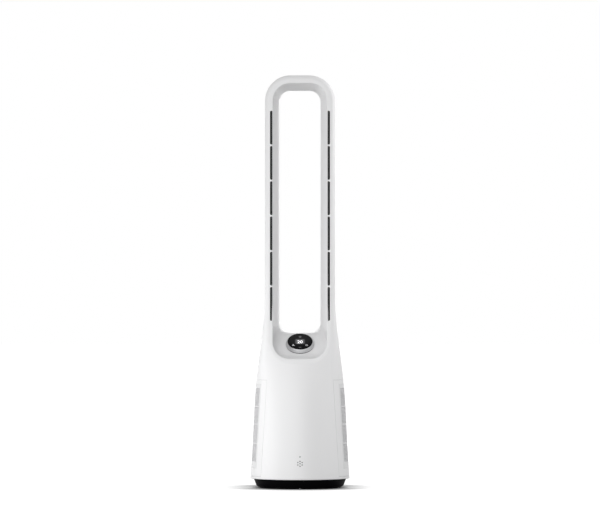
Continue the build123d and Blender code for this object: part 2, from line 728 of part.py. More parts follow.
def swivel_gear():
    gear = extrude(gear_face(SWIVEL_TEETH, GEAR_MODULE, 0.06), amount=GEAR_Z[1] - GEAR_Z[0])
    gear = Pos(0, 0, GEAR_Z[0]) * gear
    return gear - disc(25.3, 10, 40)


def drive_pinion():
    """Pinion below the turntable, with its shaft up into the swivel motor."""
    half_tooth = 180 / PINION_TEETH
    turn = -90 + half_tooth
    gear = Rot(0, 0, turn) * extrude(gear_face(PINION_TEETH, GEAR_MODULE, 0.06),
                                     amount=GEAR_Z[1] - GEAR_Z[0] - 0.4)
    shaft = Cylinder(2.5, 12.0, align=MIN)
    return Pos(0, GEAR_CENTRES, GEAR_Z[0] + 0.4) * (gear + shaft)


def swivel_motor():
    y = GEAR_CENTRES + SWIVEL_MOTOR_OFFSET
    z = TURNTABLE_Z[1]
    can = Pos(0, y, z) * Cylinder(SWIVEL_MOTOR_R, 19.0, align=MIN)
    can = fillet(can.edges().sort_by(Axis.Z)[-1], 2.0)
    for side in (-1, 1):
        ear = block(side * 29 - 6, side * 29 + 6, y - 4, y + 4, z, z + 1.5)
        can += ear - Pos(side * MOTOR_EAR_X, y, z) * Cylinder(SCREW_R + 0.1, 5)
    boss = Pos(0, y + SWIVEL_MOTOR_R, z + 9) * Box(16, 6, 12)
    return (can + boss) - Pos(0, GEAR_CENTRES, z) * Cylinder(2.55, 20)


# ================================================================ turntable
def turntable():
    table = disc(TURNTABLE_R, *TURNTABLE_Z)
    hub = disc(HUB_R[1], RETAINER_Z[1], TURNTABLE_Z[1])
    table += hub
    table -= disc(HUB_R[0], 0, 40)
    table += ring(TURNTABLE_R, TURNTABLE_R - 2.5, 24.5, TURNTABLE_Z[1])
    table -= Pos(0, GEAR_CENTRES, 30) * Cylinder(3.4, 10)
    for s in (-1, 1):
        table -= Pos(s * MOTOR_EAR_X, GEAR_CENTRES + SWIVEL_MOTOR_OFFSET, 30) * Cylinder(SCREW_R + 0.05, 10)
        for y in (-FRAME_SCREW_Y, FRAME_SCREW_Y):
            table -= Pos(s * FRAME_SCREW_X, y, 30) * Cylinder(SCREW_R + 0.05, 10)
    for x, y in shell_screw_places():
        table -= Pos(x, y, 30) * Cylinder(1.7, 12)
    for place in around(3, RETAINER_SCREW_R):
        table -= place * disc(SCREW_R + 0.05, RETAINER_Z[1] - 1, RETAINER_Z[1] + 9)
    return table


def pivot_retainer():
    plate = ring(RETAINER_R, HUB_R[0], *RETAINER_Z)
    for place in around(3, RETAINER_SCREW_R):
        plate -= place * disc(SCREW_R + 0.1, 5, 20)
    return plate


def tower_screws():
    """The tower's small screws, all of one size: shells, frames, swivel motor, bracket, retainer."""
    pieces = [screw(x, y, TURNTABLE_Z[0]) for x, y in shell_screw_places()]
    pieces += [place * screw(0, 0, RETAINER_Z[0]) for place in around(3, RETAINER_SCREW_R)]
    pieces += [place * screw(0, 0, BRACKET_Z[0]) for place in around(3, BRACKET_SCREW_R)]
    motor_y = GEAR_CENTRES + SWIVEL_MOTOR_OFFSET
    for side in (-1, 1):
        pieces.append(screw(side * MOTOR_EAR_X, motor_y, TURNTABLE_Z[1] + 1.5, up=False))
        for y in (-FRAME_SCREW_Y, FRAME_SCREW_Y):
            pieces.append(screw(side * FRAME_SCREW_X, y, TURNTABLE_Z[1] + 3.0, up=False))
    return group(pieces)


# ================================================================ fan
def fan_deck():
    deck = section_plate(*FAN_DECK_Z, WALL + 0.6)
    deck -= disc(HOUSING_R[0], 240, 260)
    deck -= Pos(*WIRE_HOLE, 248) * Cylinder(WIRE_HOLE_R, 10)
    for place in around(DAMPER_COUNT, DAMPER_CIRCLE_R, FIRST_DAMPER):
        deck -= place * Pos(0, 0, 248) * Cylinder(2.2, 10)
    return deck


def deck_gasket():
    outer = section_plate(FAN_DECK_Z[1], FAN_DECK_Z[1] + 2.0, WALL + 0.8)
    inner = section_plate(FAN_DECK_Z[1] - 1, FAN_DECK_Z[1] + 3.0, WALL + 7.0)
    return outer - inner


def fan_housing():
    housing = ring(HOUSING_R[1], HOUSING_R[0], *HOUSING_Z)
    flange = ring(60.0, HOUSING_R[0], HOUSING_Z[1] - 2.5, HOUSING_Z[1])
    flange -= block(48, 70, -70, 70, 200, 260)
    flange -= block(-70, -48, -70, 70, 200, 260)
    for place in around(DAMPER_COUNT, DAMPER_CIRCLE_R, FIRST_DAMPER):
        flange -= place * Pos(0, 0, 240) * Cylinder(2.2, 20)
    for side in (-1, 1):
        flange -= Pos(side * WIRE_HOLE[0], WIRE_HOLE[1], 240) * Cylinder(WIRE_HOLE_R, 20)
    return housing + flange


def dampers():
    """Rubber bushes between the housing's flange and the deck."""
    bushes = []
    for place in around(DAMPER_COUNT, DAMPER_CIRCLE_R, FIRST_DAMPER):
        bush = disc(5.0, HOUSING_Z[1], FAN_DECK_Z[0])
        bush += disc(2.1, HOUSING_Z[1] - 4.0, FAN_DECK_Z[1] + 1.0)
        bush += disc(4.0, FAN_DECK_Z[1], FAN_DECK_Z[1] + 1.5)
        bush += disc(4.0, HOUSING_Z[1] - 4.0, HOUSING_Z[1] - 2.5)
        bushes.append(place * bush)
    return group(bushes)


def inlet_bell():
    z0, z1 = BELL_Z
    return turned([(BELL_THROAT_R, z1), (BELL_THROAT_R, z1 - 5), (BELL_THROAT_R + 1.5, z1 - 9.5),
                   (50.3, z0), (50.3, z0 + 2), (46.5, z1 - 5), (HOUSING_R[1], z1 - 2.0),
                   (HOUSING_R[1], z1)])


def impeller():
    z0, z1 = IMPELLER_Z
    low_r, high_r = IMPELLER_HUB_R
    hub = turned([(SHAFT_R, z0 + 3), (low_r - 3, z0 + 3), (low_r, z0 + 8), (high_r, z1),
                  (high_r - 2, z1), (low_r - 1.5, z0 + 12), (SHAFT_R + 4, z0 + 12),
                  (SHAFT_R + 4, z1 - 4), (SHAFT_R, z1 - 4)])
    span = turned([(0, z0), (IMPELLER_R - 4.0, z0), (IMPELLER_R, z0 + 10), (IMPELLER_R, z1),
                   (high_r - 1, z1), (low_r - 1, z0 + 8), (0, z0 + 8)])
    plate = Face.make_rect(36, BLADE_THICK)
    blades = []
    for i in range(BLADES):
        start = Pos(29.0, 0, z0) * plate
        blade = Solid.extrude_linear_with_rotation(start, (0, 0, z0), (0, 0, z1 - z0), BLADE_TWIST)
        blades.append(Rot(0, 0, 360 * i / BLADES) * blade)
    wheel = hub
    for blade in blades:
        wheel += blade & span
    return wheel


def impeller_nut():
    z = IMPELLER_Z[0] + 3
    return turned([(SHAFT_R + 0.05, z), (SHAFT_R + 0.05, z - 4), (0, z - 4), (0, z - 9), (3, z - 8.5),
                   (7.5, z - 4), (8.5, z)])


def diffuser():
    r_in, r_out = DIFFUSER_HUB_R
    z0, z1 = DIFFUSER_Z
    hub = turned([(r_in, z0), (r_out, z0), (r_out, z1 - 6), (r_out - 6, z1), (0, z1), (0, z1 - 2),
                  (r_out - 7, z1 - 2), (r_in, z1 - 7)])
    ledge = ring(r_in + 0.5, 19.0, BRACKET_Z[1], BRACKET_Z[1] + 2.0)
    for place in around(3, BRACKET_SCREW_R):
        ledge -= place * disc(SCREW_R + 0.05, 220, 240)
    wheel = hub + ledge
    for i in range(DIFFUSER_VANES):
        vane = Pos((r_out + HOUSING_R[0]) / 2 - 0.4, 0, 212) * Rot(14, 0, 0) * Box(
            HOUSING_R[0] - r_out + 0.4, 1.6, 40)
        wheel += Rot(0, 0, 360 * i / DIFFUSER_VANES) * vane
    band = ring(HOUSING_R[0] - 0.1, HOUSING_R[0] - 1.6, 190, 234)
    return (wheel & disc(HOUSING_R[0] - 0.1, z0, z1)) + band


def motor_bracket():
    plate = disc(24.6, *BRACKET_Z)
    sleeve = ring(BEARING_R + 1.6, BEARING_R, BEARING_Z[0], BRACKET_Z[0] + 1)
    plate += sleeve
    plate -= disc(6.5, 180, 240)
    for place in around(3, BRACKET_SCREW_R):
        plate -= place * disc(SCREW_R + 0.1, 200, 240)
    return plate


def motor_stator():
    z0, z1 = STATOR_Z
    core = ring(BEARING_R + 3.0, BEARING_R + 1.6, z0, z1)
    for i in range(STATOR_TEETH):
        tooth = block(BEARING_R + 2.0, STATOR_R - 0.6, -0.9, 0.9, z0, z1)
        shoe = block(STATOR_R - 1.4, STATOR_R, -4.2, 4.2, z0, z1) & disc(STATOR_R, z0, z1)
        core += Rot(0, 0, 360 * i / STATOR_TEETH) * (tooth + shoe)
    return core


def motor_windings():
    z0, z1 = STATOR_Z
    coils = []
    for i in range(STATOR_TEETH):
        x0 = BEARING_R + 3.2
        x1 = STATOR_R - 1.6
        coil = block(x0, x1, -2.0, 2.0, z0 - 2.0, z1 + 2.0)
        coil -= block(x0 - 1, x1 + 1, -0.95, 0.95, z0 - 0.05, z1 + 0.05)
        coils.append(Rot(0, 0, 360 * i / STATOR_TEETH) * coil)
    return group(coils)


def rotor_bell():
    return turned([(SHAFT_R, 184.0), (SHAFT_R + 5, 184.0), (SHAFT_R + 5, 185.0), (ROTOR_R, 185.0),
                   (ROTOR_R, STATOR_Z[1] + 3), (MAGNET_R[1], STATOR_Z[1] + 3), (MAGNET_R[1], 187.0),
                   (SHAFT_R + 4, 187.0), (SHAFT_R + 4, 189.5), (SHAFT_R, 189.5)])


def rotor_magnets():
    return ring(MAGNET_R[1], MAGNET_R[0], STATOR_Z[0] - 1, STATOR_Z[1] + 1)


def motor_shaft():
    shaft = disc(SHAFT_R, IMPELLER_Z[0] - 0.8, 223.0)
    return chamfer(shaft.edges().sort_by(Axis.Z)[-1], 0.6)


def motor_bearings():
    """Two rings that the shaft runs in."""
    rings = []
    for z in BEARING_Z:
        bearing = ring(BEARING_R, SHAFT_R + 0.04, z, z + BEARING_LENGTH)
        groove = ring(8.6, 6.4, z - 1, z + 0.4)
        bearing = bearing - groove - Pos(0, 0, BEARING_LENGTH + 0.6) * groove
        rings.append(bearing)
    return group(rings)


# ================================================================ dial
def dial_housing():
    foot = disc(DIAL_FOOT_R - 0.5, 0.0, 1.2)
    post = disc(POST_R, 0.0, 8.1)
    cup = disc(SEAT_HOLE_R - 0.2, -CUP_DEPTH, 0.0)
    hollow = disc(23.6, -12.0, 10.0)
    groove = ring(POST_R + 1, POST_R - 0.7, 6.7, 7.7)
    return on_dial(foot + post + cup - hollow - groove)


def dial_ring():
    ring_solid = turned([(POST_R + 0.35, RING_FOOT), (DIAL_FOOT_R, RING_FOOT),
                         (DIAL_FOOT_R, RING_FOOT + 1.2), (RING_TOP_R + 0.3, DIAL_TOP - 0.4),
                         (RING_TOP_R, DIAL_TOP),
                         (DIAL_GLASS_R + 0.25, DIAL_TOP), (DIAL_GLASS_R + 0.25, 7.4),
                         (POST_R + 1.6, 6.4), (POST_R + 0.35, 6.4)])
    return on_dial(ring_solid)


def dial_retainer():
    """Clip in the post's edge that holds the ring down."""
    return on_dial(ring(POST_R + 1.2, POST_R - 0.6, 6.8, 7.3))


def dial_glass():
    glass = disc(DIAL_GLASS_R, 8.2, DIAL_TOP + 0.1)
    return on_dial(chamfer(glass.edges().sort_by(Axis.Z)[-1], 0.4))


def light_guide():
    guide = disc(23.4, 5.2, 8.1)
    guide -= block(-9, 9, -5, 5, 4, 7.0)
    for x, y in DIAL_KEYS:
        guide -= Pos(x, y, 5.6) * Cylinder(2.2, 2.0)
    return on_dial(guide)


def display_board():
    board = disc(23.3, 0.8, 2.4)
    board += block(-8.5, 8.5, -4.5, 4.5, 2.3, 5.0)
    for x, y in DIAL_KEYS:
        board += Pos(x, y, 3.0) * Box(2.6, 2.6, 1.6)
    board += block(-5, 5, -20, -15, -3.0, 0.9)
    board += block(14, 20, -4, 4, 2.3, 5.0)
    return on_dial(board)


# ================================================================ boards, sensors, leads
def board_hole_places():
    return [(x, y) for x in (-BOARD_HOLE_X, BOARD_HOLE_X) for y in BOARD_HOLE_Y]


def main_board():
    """Board with its transformer, capacitors, heat sink, controller and three connectors."""
    top = BOARD_Z + BOARD_THICK - 0.1
    board = block(-42, 42, -84, -36, BOARD_Z, BOARD_Z + BOARD_THICK)
    for x, y in board_hole_places():
        board -= Pos(x, y, BOARD_Z) * Cylinder(1.6, 6)
    board += block(-32, -12, -78, -60, top, top + 16.5)
    board += Pos(2, -70, top) * Cylinder(8.0, 20.0, align=MIN)
    board += Pos(20, -70, top) * Cylinder(6.0, 16.0, align=MIN)
    board += block(28, 38, -70, -56, top, top + 12.5)
    board += block(-10, 10, -58, -46, top, top + 2.0)
    for x, y in (POWER_PLUG, MOTOR_PLUG, DISPLAY_PLUG):
        board += block(x - 6, x + 6, y - 3, y + 3, top, PLUG_TOP_Z)
    return board


def board_posts():
    """Four pillars on the turntable under the main board, with their screws."""
    posts = []
    for x, y in board_hole_places():
        post = Pos(x, y, TURNTABLE_Z[1]) * Cylinder(3.5, BOARD_Z - TURNTABLE_Z[1], align=MIN)
        post += Pos(x, y, BOARD_Z - 1) * Cylinder(1.5, BOARD_THICK + 1, align=MIN)
        post += Pos(x, y, BOARD_Z + BOARD_THICK) * Cylinder(2.8, 1.6, align=MIN)
        posts.append(post)
    return group(posts)


def sensor_board():
    board = block(-16, 16, -103.0, -101.4, 44.0, 83.0)
    board += block(-4, 4, -101.5, -97.0, 48.0, 54.0)
    board += Pos(0, -104.5, LIGHT_SENSOR_Z) * Rot(90, 0, 0) * Cylinder(2.5, 3.2)
    return board


def air_sensor():
    can = Pos(0, -105.3, AIR_SENSOR_Z) * Rot(90, 0, 0) * Cylinder(8.0, 4.4)
    return can - Pos(0, -107.5, AIR_SENSOR_Z) * Rot(90, 0, 0) * Cylinder(6.6, 2.4)


def supply_lead():
    """From the swivel's hub up and over to the board's power connector."""
    points = [(0, 0, 24.2), (0, 0, 62), (*POWER_PLUG, 62), (*POWER_PLUG, PLUG_TOP_Z)]
    return pipe(points, MAINS_LEAD_R, [12, 6.5])


def inlet_lead():
    """From the inlet along the base's floor and up through the swivel's hub."""
    back = BASE_BOTTOM_R + 2.2 - INLET_DEPTH
    return pipe([(0, back, 9.2), (0, 0, 9.2), (0, 0, 24.0)], MAINS_LEAD_R, [12])


def motor_lead():
    """Lead and plug up to the outside of the housing, where the motor's wires come through."""
    points = [(*MOTOR_PLUG, PLUG_TOP_Z), (*MOTOR_PLUG, 150), (36, -49, 175), (36, -49, 200)]
    lead = pipe(points, LEAD_R, [20, 20])
    plug = block(30, 42, -53, -36, 200, 210) - disc(HOUSING_R[1] + 0.05, 190, 220)
    return group([lead, plug])


def display_lead():
    """From the main board through the deck and up to the bottom of the dial's cup."""
    end = dial_plane(-CUP_DEPTH).origin
    before = dial_plane(-CUP_DEPTH - 20.0).origin
    points = [(*DISPLAY_PLUG, PLUG_TOP_Z), (-30, -49.5, 262), tuple(before), tuple(end)]
    return pipe(points, LEAD_R, [14, 12])


def cover_set():
    wall = cover_wall()
    grille_outer = body_solid(0.7)
    grille_inner = body_solid(2.3, RIM_Z - 4)
    right = {
        "cover_right": cover_right(wall),
        "grille_right": grille_right(grille_outer, grille_inner),
        "filter_frame_right": filter_frame_right(),
        "filter_media_right": filter_media_right(),
        "intake_frame_right": intake_frame_right(),
        "nozzle_right": nozzle_right(),
    }
    both = dict(right)
    for name, piece in right.items():
        both[name.replace("right", "left")] = mirrored(piece)
    return both


def build():
    front, rear = shells()
    parts = {
        "front_shell": front,
        "rear_shell": rear,
        "base_shell": base_shell(),
        "base_bottom_cover": base_bottom_cover(),
        "base_weight": base_weight(),
        "base_screws": base_screws(),
        "rubber_feet": rubber_feet(),
        "mains_inlet": mains_inlet(),
        "inlet_lead": inlet_lead(),
        "pivot_bush": pivot_bush(),
        "lower_race": race(DECK_Z, BALL_Z - 0.9),
        "upper_race": race(BALL_Z + 0.9, TURNTABLE_Z[0]),
        "bearing_balls": bearing_balls(),
        "bearing_cage": bearing_cage(),
        "swivel_gear": swivel_gear(),
        "drive_pinion": drive_pinion(),
        "swivel_motor": swivel_motor(),
        "turntable": turntable(),
        "pivot_retainer": pivot_retainer(),
        "tower_screws": tower_screws(),
        "fan_deck": fan_deck(),
        "deck_gasket": deck_gasket(),
        "fan_housing": fan_housing(),
        "dampers": dampers(),
        "inlet_bell": inlet_bell(),
        "impeller": impeller(),
        "impeller_nut": impeller_nut(),
        "diffuser": diffuser(),
        "motor_bracket": motor_bracket(),
        "motor_stator": motor_stator(),
        "motor_windings": motor_windings(),
        "rotor_bell": rotor_bell(),
        "rotor_magnets": rotor_magnets(),
        "motor_shaft": motor_shaft(),
        "motor_bearings": motor_bearings(),
        "dial_housing": dial_housing(),
        "dial_ring": dial_ring(),
        "dial_retainer": dial_retainer(),
        "dial_glass": dial_glass(),
        "light_guide": light_guide(),
        "display_board": display_board(),
        "main_board": main_board(),
        "board_posts": board_posts(),
        "sensor_board": sensor_board(),
        "air_sensor": air_sensor(),
        "supply_lead": supply_lead(),
        "motor_lead": motor_lead(),
        "display_lead": display_lead(),
    }
    parts.update(cover_set())
    return parts


if __name__ == "__main__":
    os.makedirs("parts", exist_ok=True)
    for node, shape in build().items():
        export_step(shape, f"parts/{node}.step")
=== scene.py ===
"""Dresses a bladeless tower fan: satin white shells round a slim loop, black outlet slots,
perforated side grilles, a silver dial with a lit display and a pale studio stage.

Metres, +Z up, the front faces -Y, the origin is on the floor under the middle of the base.
"""
import json
import math

import bmesh
import bpy
import numpy as np
from bpy.props import FloatProperty, FloatVectorProperty, IntProperty, PointerProperty
from mathutils import Matrix, Vector


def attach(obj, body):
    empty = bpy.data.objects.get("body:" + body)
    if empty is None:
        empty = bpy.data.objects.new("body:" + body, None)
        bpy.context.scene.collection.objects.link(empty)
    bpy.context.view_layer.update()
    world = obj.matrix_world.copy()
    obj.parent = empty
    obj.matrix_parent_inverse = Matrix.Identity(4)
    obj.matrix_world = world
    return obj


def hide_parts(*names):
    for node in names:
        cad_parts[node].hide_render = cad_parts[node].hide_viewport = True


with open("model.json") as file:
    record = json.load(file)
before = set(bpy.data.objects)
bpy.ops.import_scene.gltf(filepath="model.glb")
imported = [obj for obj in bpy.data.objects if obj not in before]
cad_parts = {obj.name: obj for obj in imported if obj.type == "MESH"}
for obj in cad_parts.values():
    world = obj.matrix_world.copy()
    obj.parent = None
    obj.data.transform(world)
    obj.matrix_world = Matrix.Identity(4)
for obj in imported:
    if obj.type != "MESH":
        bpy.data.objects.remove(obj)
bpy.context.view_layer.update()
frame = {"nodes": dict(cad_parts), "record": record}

bl_info = {
    "name": "Tower fan looks",
    "version": (1, 0, 0),
    "blender": (4, 5, 0),
    "location": "View3D > Sidebar > Fan",
    "description": "Builds the shells, grilles, dial, base, finishes and studio of a bladeless fan",
    "category": "Object",
}

# ================================================================ sizes, metres
HEIGHT = 0.950
RIM_Z = 0.021                 # lower edge of the white shells
SPLIT_Y = 0.022               # plane where the front and rear shells meet

# loop
LOOP_HALF_WIDTH = 0.0806
LOOP_HALF_DEPTH = 0.050
ARCH_CENTRE_X = 0.0216
ARCH_CENTRE_Z = HEIGHT - (LOOP_HALF_WIDTH - ARCH_CENTRE_X)
LOOP_FOOT_Z = 0.432           # below this the loop flares into the body
INNER_REAR_X = 0.0473
INNER_FRONT_X = 0.0624
STRIP_OUTER_X = 0.0713        # crease between the front strip and the rounded flank
FRONT_CURVE_Y = -0.037
REAR_CURVE_Y = 0.030
REAR_FLAT_X = 0.062
KINK_SLOPE = 0.3415           # slope of the flank where it leaves the strip
REAR_SLOPE = 0.0725           # slope of the flank where it meets the flat back
KINK_GONE_Z = 0.345           # the crease has turned into the well's outer edge by here
# places along the outline that hold its front, its rear, and the flat back with its corner
FRONT_PLACES = (0.0, 2.5)
REAR_PLACES = (2.5, 5.0)
BACK_PLACES = (3.5, 5.0)
HALVINGS = 40
OUTLINE_STEP = 0.001              # steps along the outline that its directions are taken over
NORMAL_STEP = 0.0005

# body: height, half width, half depth, roundness (1 is an ellipse, 0 the loop's own outline)
BODY_LEVELS = [
    (RIM_Z, 0.1144, 0.1140, 1.0),
    (0.120, 0.1088, 0.1065, 1.0),
    (0.225, 0.1028, 0.0935, 0.9),
    (0.294, 0.0954, 0.0790, 0.62),
    (0.363, 0.0862, 0.0615, 0.25),
    (LOOP_FOOT_Z, LOOP_HALF_WIDTH, LOOP_HALF_DEPTH, 0.0),
]
TURN_FRONT = math.radians(78)     # where the flank's parts lie on the ellipse
TURN_SIDE = math.radians(106)
TURN_REAR = math.radians(140)
LIP_R = 0.0016                    # rounding of the rim

# well: depth, floor height, corner radius of the loop's lower opening, from the front to the back
WELL_STATIONS = [
    (-0.0950, 0.2980, 0.037),
    (-0.0620, 0.2990, 0.037),
    (-0.0500, 0.3024, 0.036),
    (-0.0374, 0.3087, 0.034),
    (0.0134, 0.3497, 0.024),
    (0.0300, 0.3554, 0.021),
    (0.0500, 0.3560, 0.020),
    (0.0950, 0.3560, 0.020),
]
WELL_BLEND = 0.006                # half width of the rounding at each change of slope
BLEND_SAMPLES = 13
WELL_DISH = 0.0030                # the back lip rises this much towards the limbs
DISH_FROM_Y = 0.0134
EDGE_FLOOR_Z = 0.2870             # outer edge of the flat band round the well
EDGE_CORNER_R = 0.052

# dial, along its own axis
DIAL_TILT = math.radians(38.9)
DIAL_FOOT = (0.0, -0.012, 0.3292)
DIAL_POCKET_R = 0.0332
RING_PROFILE = [                  # radius, height and rounding of each corner
    (0.02615, 0.0016, 0), (0.0327, 0.0016, 0.0004), (0.0327, 0.0028, 0.0006),
    (0.0301, 0.0094, 0.0004), (0.0298, 0.0098, 0.0002), (0.0290, 0.0098, 0.0002),
    (0.0290, 0.0074, 0), (0.0274, 0.0064, 0), (0.02615, 0.0064, 0),
]
GLASS_TOP = 0.0099
GLASS_PROFILE = [
    (0, 0.0082, 0), (0.02875, 0.0082, 0.0001), (0.02875, GLASS_TOP, 0.0005), (0, GLASS_TOP, 0),
]

# outlet slots
SLOT_COUNT = 6
SLOT_X = 0.0660
SLOT_BOTTOM_Z = 0.385
SLOT_TOP_Z = 0.868
SLOT_BRIDGE = 0.0035
SLOT_PITCH = (SLOT_TOP_Z - SLOT_BOTTOM_Z + SLOT_BRIDGE) / SLOT_COUNT
SLOT_LENGTH = SLOT_PITCH - SLOT_BRIDGE

# side covers: place across and height of the leaning front seam and of the window's edge
SEAM_TOP = (0.0760, 0.249)
SEAM_BOTTOM = (0.0900, 0.027)
WINDOW_TOP = (0.0888, 0.2394)
WINDOW_BOTTOM = (0.1000, 0.0455)
HOLES_TOP_Z = 0.230
HOLES_BOTTOM_Z = 0.0605
GRILLE_RIBS_Z = (0.189, 0.146, 0.104)
WINDOW_PLACES = ((1.0, 2.5), (2.5, 4.5))      # places that hold the window's two upright edges
CUT_TOP_Z = SEAM_TOP[1] + 0.01                # the cuts of the seams end below this

# camera and the photograph's frame
PHOTO_WIDTH = 600
PHOTO_CENTRE = (300.0, 263.5)
PHOTO_FLOOR_Y = 487.2             # pixel row of the floor under the middle of the base
PHOTO_MIDDLE_X = 300.0            # pixel column of the fan's axis
PIXEL = 0.00231                   # size of one pixel at the object
SENSOR_MM = 36.0
CLIP_BEHIND = 60                  # how far the camera sees behind the fan

# section of the opening's edge: band on the strip, rounded edges and the well's wall
BAND_PLACES = (0.0, 1.0, 2.0, 3.0)                # places along the opening's outline
BAND_RECESS = (0.0015, 0.0022, 0.0024, 0.0)       # how far the inner edge lies behind the front
FRONT_EDGE_LEGS = (0.0070, 0.0050, 0.0025, 0.0010)
REAR_EDGE_LEG = 0.0035
BAND_ROWS = (0.0, 0.1, 0.4, 0.75)
WALL_STEPS = 26
EDGE_START_Y = -0.06              # where the search for the front edge starts, and its steps
EDGE_SEARCHES = 25
BEHIND_Y = 0.07                   # a depth behind the back face

# grid of the skin: places along the rim that the opening's middle, corner end and side end run
# down to, and how finely each form is drawn
FOOT_FRONT = (0.0, 1.0, 1.5)
FOOT_REAR = (5.0, 4.12, 3.75)
COLUMN_TURN = 3.0                 # how late the columns of the grid turn to the opening
ROW_SPREAD = 1.5                  # how much closer the rows of the grid are at the top
OPENING_COUNTS = (15, 21, 15)     # points along the opening's floor, corner and side
SECTION_COUNTS = (11, 9, 15, 3)   # points along the flank, the side, the rear corner, the back
FRONT_EDGE_ROWS = 6
REAR_EDGE_ROWS = 7
LIP_ROWS = 7
BODY_ROWS = 64
LIMB_RINGS = 10
ARCH_STEPS = 24
TOP_RINGS = 4

# meshes
RING_STEPS = 160                  # sides of the dial's ring, its glass and pocket, and the base
GLASS_STEPS = 128
BASE_STEPS = 192
DOT_STEPS = 16                    # sides of the sensor holes and of the signs' discs
WELD = 0.00001                    # points of one piece this close are one
MERGE = 0.00004                   # points of the skin this close are one
AXIS_R = 0.000001                 # a radius below this is a point on the axis
NO_AREA = 1e-12                   # stands in for an area of nothing
CREASE = math.radians(32)         # sharper edges than this are drawn sharp
SHELL_LIMIT = 1.3                 # largest factor that keeps a wall even round a sharp edge

# black collars in the slots: play, wall and reach along Y; outlines (x, y) of the vanes behind
COLLAR_PLAY = 0.0001
COLLAR_WALL = 0.0004
COLLAR_REACH = (0.0463, 0.0497)
VANES = [
    [(0.0639, -0.0468), (0.0647, -0.0468), (0.0656, -0.0436),
     (0.0674, -0.0412), (0.0668, -0.0406), (0.0648, -0.0432)],
    [(0.0662, -0.0376), (0.0690, -0.0376), (0.0690, -0.0366), (0.0662, -0.0366)],
]

# faces that the slots are cut in, and the cut lines of a slot's round end
SLOT_REACH = 0.008
SLOT_FRONT_Y = -0.045
SLOT_END_TURNS = [math.radians(a) for a in (-75, -55, -35, -12, 12, 35, 55, 75)]
CUT_SNAP = 0.00003

# reach of the cutters along their own axes
SENSOR_REACH = (0.100, 0.125)
POCKET_REACH = (-0.010, 0.030)
SENSOR_HOLE_R = 0.0014
SENSOR_Z = (0.0742, 0.0585)
SENSOR_RING_R = 0.0056
SENSOR_RING_COUNT = 6

# seat under the dial, inner flange and the covers' snap tongues
SEAT_HOLE_R = 0.0264
SEAT_R = 0.037
SEAT_STEP = 0.00245
SEAT_THICK = 0.004
SEAT_PLAY = 0.00005
SHELF_INSET = 0.0019
SHELF_RADIUS_FROM = 0.05
SHELF_POINTS = 41
FLANGE_Z = (0.0312, 0.0336)
FLANGE_INNER_R = 0.094
FLANGE_END_X = 0.0890
LEDGE_Z = (0.2430, 0.2468)
LEDGE_INSET = 0.008
LEDGE_END_X = 0.0757
TONGUE_X = 0.075
TONGUE_Y = 0.053
TONGUE_Z = 0.226
TONGUE_SIZE = (0.016, 0.006, 0.004)

# grille
GRILLE_PLAY = 0.00025             # gap to the cover
GRILLE_EDGE = 0.0055              # width of the border beside the holes
GRILLE_LAP = 0.0003               # how far the border and the ribs' ends reach over the plate
GRILLE_RECESS = 0.0004            # how deep the plate lies in the window
GRILLE_RAISE = 0.00015            # how far the border and the ribs stand out from the plate
GRILLE_RIB = 0.0036
BOTTOM_BORDER_STEPS = (48, 8)     # faces along and up each part of the border, and a rib
TOP_BORDER_STEPS = (48, 4)
SIDE_BORDER_STEPS = (3, 60)
RIB_STEPS = (44, 2)

# display
FIGURE_THICK = 0.00006
DIGIT_SHARE = 0.69                # height of a digit in the built-in lettering of size 1
DIGIT_BOLD = 0.0002
DIGIT_WIDEN = 0.90
DIGIT_LOWER = 0.0013
DIGIT_HALO = 0.13                 # light round the digits: strength, half size of its box, reach
HALO_BOX = (0.0070, 0.0048)
HALO_REACH = 0.0062
HALO_BLUE = 1.04
# light of the fan sign, the lamp sign and the others, as shares of the digits' light
ICON_SHARE = 0.5
LAMP_SHARE = 0.4
DIM_SHARE = 0.22
RING_SIGN = (0.0003, 0.0168)
FAN_SIGN = (-0.0154, -0.0131)
LAMP_SIGN = (0.0153, -0.0131)
BAR_SIGN = (0.0, -0.0210)
# sizes of the signs' figures: radii of rings and discs, length and width of bars
FAN_BLADES = 3
FAN_BLADE = (0.0032, 0.0021)
FAN_BLADE_R = 0.0017
FAN_BLADE_LEAN = 55
FAN_HUB_R = 0.0009
RING_RADII = (0.0029, 0.0020)
RING_DOT_R = 0.0008
LAMP_RADII = (0.0030, 0.0019)
LAMP_BAR = (0.0026, 0.0009)
LONG_BAR = (0.0066, 0.0012)

# base
BASE_BOTTOM_R = 0.1005
BASE_TOP_R = 0.107
BASE_JOINT_Z = 0.004
DECK_Z = 0.022
BASE_DECK = 0.0025
BASE_WALL = 0.003
BASE_BEVEL = 0.001
BASE_HOLE_R = 0.023
BASE_SOFT = 0.0003                # rounding of its edges, of the top one and of the one inside
BASE_TOP_SOFT = 0.0008
BASE_INNER_SOFT = 0.0004
INLET_HALF_X = 0.012
INLET_Y = (0.070, 0.120)
INLET_Z = (0.005, 0.018)

# studio
FLOOR_SIZE = 40.0
FLOOR_GREY = 0.3
FLOOR_SHADE_REACH = 0.085         # how far from the fan the painted contact shadow reaches
FLOOR_SHADE_POWER = (1.0, 3.6)    # how strongly: beside the fan, and in front of it and behind
FLOOR_WHITE = 0.85                # light that the floor adds of its own near the fan
FLOOR_FADE = (0.35, 1.4)          # distances between which it turns to plain white
# lamps: azimuth from the front to the right, distance, height and the height aimed at; width and
# height; how much of the lamp shows as a highlight
LAMPS = {
    "key": ((-79, 0.95, 0.2, 0.15), (0.9, 0.4), 1.0),
    "front": ((-10, 3.6, 0.9, 0.45), (2.4, 1.8), 0.0),
    "rim": ((100, 1.3, 1.1, 0.8), (0.4, 0.9), 1.0),
    "back": ((180, 3.0, 0.9, 0.6), (2.0, 1.4), 1.0),
}


